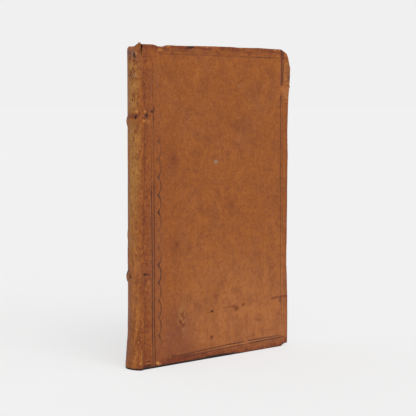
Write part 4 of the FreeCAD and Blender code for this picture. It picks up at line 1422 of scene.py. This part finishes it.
def endband(name, node):
    """Endband, closed: a cord laid round the back of the leaves and wound with thread, so that its
    round section swells and narrows once for each turn of thread."""
    thickness = highest(node, "z") - lowest(node, "z")
    middle = (highest(node, "z") + lowest(node, "z")) / 2
    section = 0.47 * thickness
    path_radius = BACK_RADIUS - LEATHER - 1.0
    sweep = math.asin((LEAVES_HALF - 0.15) / path_radius)
    turn_width = 0.42
    turns = int(2 * sweep * path_radius / turn_width)
    along = np.linspace(-1, 1, turns * 6 + 1)
    round_it = np.linspace(0, 2 * math.pi, 20, endpoint=False)
    a, t = np.meshgrid(along, round_it, indexing="ij")
    phase = (a + 1) / 2 * turns + t / (2 * math.pi) * 0.3
    wound = 1 - 0.13 * (1 - np.abs(np.sin(math.pi * phase))) ** 2
    close = np.where(np.abs(a) == 1, 0.8, 1.0)
    r = section * wound * close
    radius = path_radius + 1.15 * r * np.cos(t)
    x = BACK_AXIS - radius * np.cos(a * sweep)
    y = radius * np.sin(a * sweep)
    z = middle + r * np.sin(t)
    points = np.stack([x + JOINT_X, y, z], -1).reshape(-1, 3)
    number = np.arange(points.shape[0]).reshape(a.shape)
    loop = np.concatenate([number, number[:, :1]], 1)
    faces = quads(loop).tolist() + [number[0].tolist(), number[-1].tolist()]
    second_colour = (np.floor(phase) % 2 == 0).astype(float)
    marks = {"browned": 0.85 * second_colour, "dirt_and_shade": 0.35 + 0.2 * ripple(a * 10, t, 2, 133)}
    return make_piece(name, points, faces, marks, sharp=80.0)


# Operators


def dress(piece, material, body, slot, *nodes):
    """Give a new piece its material and body, and let it stand for its CAD nodes. Its slot is not
    used.
    """
    piece.data.materials.append(material)
    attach(piece, body)
    if nodes:
        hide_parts(*nodes)
    return piece


def dress_node(node, material):
    """Give a CAD node that stays a better material."""
    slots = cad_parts[node].data.materials
    slots.clear()
    slots.append(material)


class BOOK_OT_covers(bpy.types.Operator):
    """Leather and pasteboard of the two covers"""

    bl_idname = "book.covers"
    bl_label = "Covers"

    def execute(self, context):
        sizes = context.scene.book_sizes
        calf = polished_calf("Polished calf", context.scene.book_colours, sizes)
        front = cover_leather("front_cover_calf", sizes, True)
        dress(front, calf, "front_cover", "calf", "front_leather")
        pasteboards = pasteboard(context.scene.book_colours)
        for side, is_front in (("front", True), ("back", False)):
            layers = board(side + "_pasteboard", sizes, is_front)
            dress(layers, pasteboards, side + "_cover", "pasteboard", side + "_board")
        back = cover_leather("back_cover_calf", sizes, False)
        dress(back, calf, "back_cover", "calf", "back_leather")
        return {"FINISHED"}


class BOOK_OT_back(bpy.types.Operator):
    """Leather over the round back"""

    bl_idname = "book.back"
    bl_label = "Back leather"

    def execute(self, context):
        sizes = context.scene.book_sizes
        calf = polished_calf("Sunned calf", context.scene.book_colours, sizes, back=True)
        dress(back_leather("round_back_calf"), calf, "book_block", "calf", "spine_leather")
        return {"FINISHED"}


class BOOK_OT_leaves(bpy.types.Operator):
    """Leaves, flyleaves, pastedowns and the paper in the inner joints"""

    bl_idname = "book.leaves"
    bl_label = "Leaves and endpapers"

    def execute(self, context):
        sizes = context.scene.book_sizes
        colours = context.scene.book_colours
        leaves = rag_paper("Rag paper leaves", colours, edge=True)
        endpaper = rag_paper("Laid endpaper", colours)
        in_joint = rag_paper("Browned endpaper in the joint", colours, dirty_ends=True)
        dress(text_block("leaves", sizes), leaves, "book_block", "rag_paper", "text_block")
        for side, front in (("front", True), ("back", False)):
            sheet = pastedown(side + "_endpaper_pasted", sizes, front)
            dress(sheet, endpaper, side + "_cover", "endpaper", side + "_pastedown")
            dress(flyleaf(side + "_flyleaf", front), endpaper, "book_block", "endpaper")
            strip = joint_paper(side + "_joint_paper", front)
            strip.data.materials.append(in_joint)
            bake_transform(strip)
        return {"FINISHED"}


class BOOK_OT_endbands(bpy.types.Operator):
    """Wound endbands at head and tail"""

    bl_idname = "book.endbands"
    bl_label = "Endbands"

    def execute(self, context):
        thread = rag_paper("Linen thread in two colours", context.scene.book_colours)
        for node in ("headband", "tailband"):
            dress(endband("wound_" + node, node), thread, "book_block", "endband_thread", node)
        return {"FINISHED"}


class BOOK_OT_inside(bpy.types.Operator):
    """Finishes of the cords, thread and lining, which stay as the solids have them"""

    bl_idname = "book.inside"
    bl_label = "Cords and lining"

    def execute(self, context):
        colours = context.scene.book_colours
        cord = twisted_fibre("Hemp cord", colours, colours.cord, 1.2, (6, 1, 1))
        thread = twisted_fibre("Linen thread", colours, colours.paper, 0.4, (1, 6, 1))
        lining = rag_paper("Glued lining paper", colours, dirty_ends=True)
        for stem, ends, material in (
            ("front_slip_", ("upper", "lower"), cord),
            ("back_slip_", ("upper", "lower"), cord),
            ("sewing_band_", ("upper", "lower"), cord),
            ("kettle_stitch_", ("head", "tail"), thread),
            ("spine_lining_", ("head", "middle", "tail"), lining),
        ):
            for end in ends:
                dress_node(stem + end, material)
        return {"FINISHED"}


class BOOK_OT_stage(bpy.types.Operator):
    """Pale floor, soft light and the photograph's camera"""

    bl_idname = "book.stage"
    bl_label = "Floor, light and camera"

    def execute(self, context):
        scene = context.scene
        scene.view_settings.view_transform = "Standard"
        pale = scene.book_colours.floor
        self.make_floor(scene, pale, scene.book_colours.floor_matt)
        self.make_world(scene, pale)
        self.make_key_light(scene)
        self.make_camera(scene)
        return {"FINISHED"}

    def seen_directly(self, tree):
        """1 for rays straight from the camera, and for those by way of a gloss or through glass."""
        rays = add_node(tree, "ShaderNodeLightPath").outputs
        share = rays["Is Camera Ray"]
        for kind in ("Is Glossy Ray", "Is Transmission Ray"):
            both = {0: share, 1: rays[kind]}
            share = add_node(tree, "ShaderNodeMath", {"operation": "MAXIMUM"}, both).outputs[0]
        return share

    def make_floor(self, scene, pale, pale_matt):
        """A wide pale floor. To the camera part of it glows, so that the shadow on it stays as soft
        as in the photograph, and to the object it is a plain matt surface."""
        mesh = bpy.data.meshes.new("floor")
        square = ((-1, -1), (1, -1), (1, 1), (-1, 1))
        corners = [(x * FLOOR_REACH, y * FLOOR_REACH, 0) for x, y in square]
        mesh.from_pydata(corners, [], [(0, 1, 2, 3)])
        floor = bpy.data.objects.new("floor", mesh)
        scene.collection.objects.link(floor)
        material = bpy.data.materials.new("Matt pale floor")
        material.use_nodes = True
        tree = material.node_tree
        tree.nodes.clear()
        matt = add_node(tree, "ShaderNodeBsdfDiffuse", {}, {"Color": pale_matt})
        glow = add_node(tree, "ShaderNodeEmission", {}, {"Color": pale, "Strength": 1.0})
        part = {0: self.seen_directly(tree), 1: FLOOR_GLOW}
        share = add_node(tree, "ShaderNodeMath", {"operation": "MULTIPLY"}, part)
        both = add_node(
            tree, "ShaderNodeMixShader", {},
            {0: share.outputs[0], 1: matt.outputs[0], 2: glow.outputs[0]},
        )
        add_node(tree, "ShaderNodeOutputMaterial", {}, {"Surface": both.outputs[0]})
        mesh.materials.append(material)

    def make_world(self, scene, pale):
        """Even studio light from all round, and the floor's colour behind the object."""
        world = bpy.data.worlds.new("Soft studio")
        scene.world = world
        world.use_nodes = True
        tree = world.node_tree
        tree.nodes.clear()
        even = {"Color": (1, 1, 1, 1), "Strength": WORLD_STRENGTH}
        light = add_node(tree, "ShaderNodeBackground", {}, even)
        seen = add_node(tree, "ShaderNodeBackground", {}, {"Color": pale, "Strength": 1.0})
        kinds = {0: self.seen_directly(tree), 1: light.outputs[0], 2: seen.outputs[0]}
        both = add_node(tree, "ShaderNodeMixShader", {}, kinds)
        add_node(tree, "ShaderNodeOutputWorld", {}, {"Surface": both.outputs[0]})

    def make_key_light(self, scene):
        """A soft main light high up in front of the book, so that its shadow falls behind it."""
        lamp = bpy.data.lights.new("key", "SUN")
        lamp.energy = KEY_STRENGTH
        lamp.angle = math.radians(KEY_SPREAD)
        key = bpy.data.objects.new("key", lamp)
        key.rotation_euler = (math.radians(KEY_TILT), 0, math.radians(KEY_TURN))
        scene.collection.objects.link(key)

    def make_camera(self, scene):
        """The photograph's camera: its place, turn and dip come from the cover's corners."""
        data = bpy.data.cameras.new("camera")
        data.sensor_width = 36.0
        data.lens = PHOTO_FOCAL / PHOTO_SIZE * data.sensor_width
        data.clip_end = 200.0
        camera = bpy.data.objects.new("camera", data)
        x, y, z = CAMERA_FROM_JOINT
        camera.location = ((x + JOINT_X) / MM, y / MM, z / MM)
        camera.rotation_euler = (math.radians(90 - CAMERA_DIP), 0, math.radians(CAMERA_TURN))
        scene.collection.objects.link(camera)
        scene.camera = camera


class BOOK_PT_panel(bpy.types.Panel):
    """Sizes, colours and operators of the book"""

    bl_idname = "BOOK_PT_panel"
    bl_label = "Antique leather book"
    bl_space_type = "VIEW_3D"
    bl_region_type = "UI"
    bl_category = "Book"

    def draw(self, context):
        for group in (context.scene.book_sizes, context.scene.book_colours):
            box = self.layout.box()
            for name in group.__annotations__:
                box.prop(group, name)
        for step in STEPS:
            self.layout.operator(step.bl_idname)


STEPS = (
    BOOK_OT_stage,
    BOOK_OT_covers,
    BOOK_OT_back,
    BOOK_OT_leaves,
    BOOK_OT_endbands,
    BOOK_OT_inside,
)
CLASSES = (BookSizes, BookColours, *STEPS, BOOK_PT_panel)


def register():
    for item in CLASSES:
        bpy.utils.register_class(item)
    bpy.types.Scene.book_sizes = bpy.props.PointerProperty(type=BookSizes)
    bpy.types.Scene.book_colours = bpy.props.PointerProperty(type=BookColours)


def unregister():
    del bpy.types.Scene.book_colours
    del bpy.types.Scene.book_sizes
    for item in reversed(CLASSES):
        bpy.utils.unregister_class(item)


def main():
    register()
    bpy.ops.book.stage()
    bpy.ops.book.covers()
    bpy.ops.book.back()
    bpy.ops.book.leaves()
    bpy.ops.book.endbands()
    bpy.ops.book.inside()


if __name__ == "__main__":
    main()
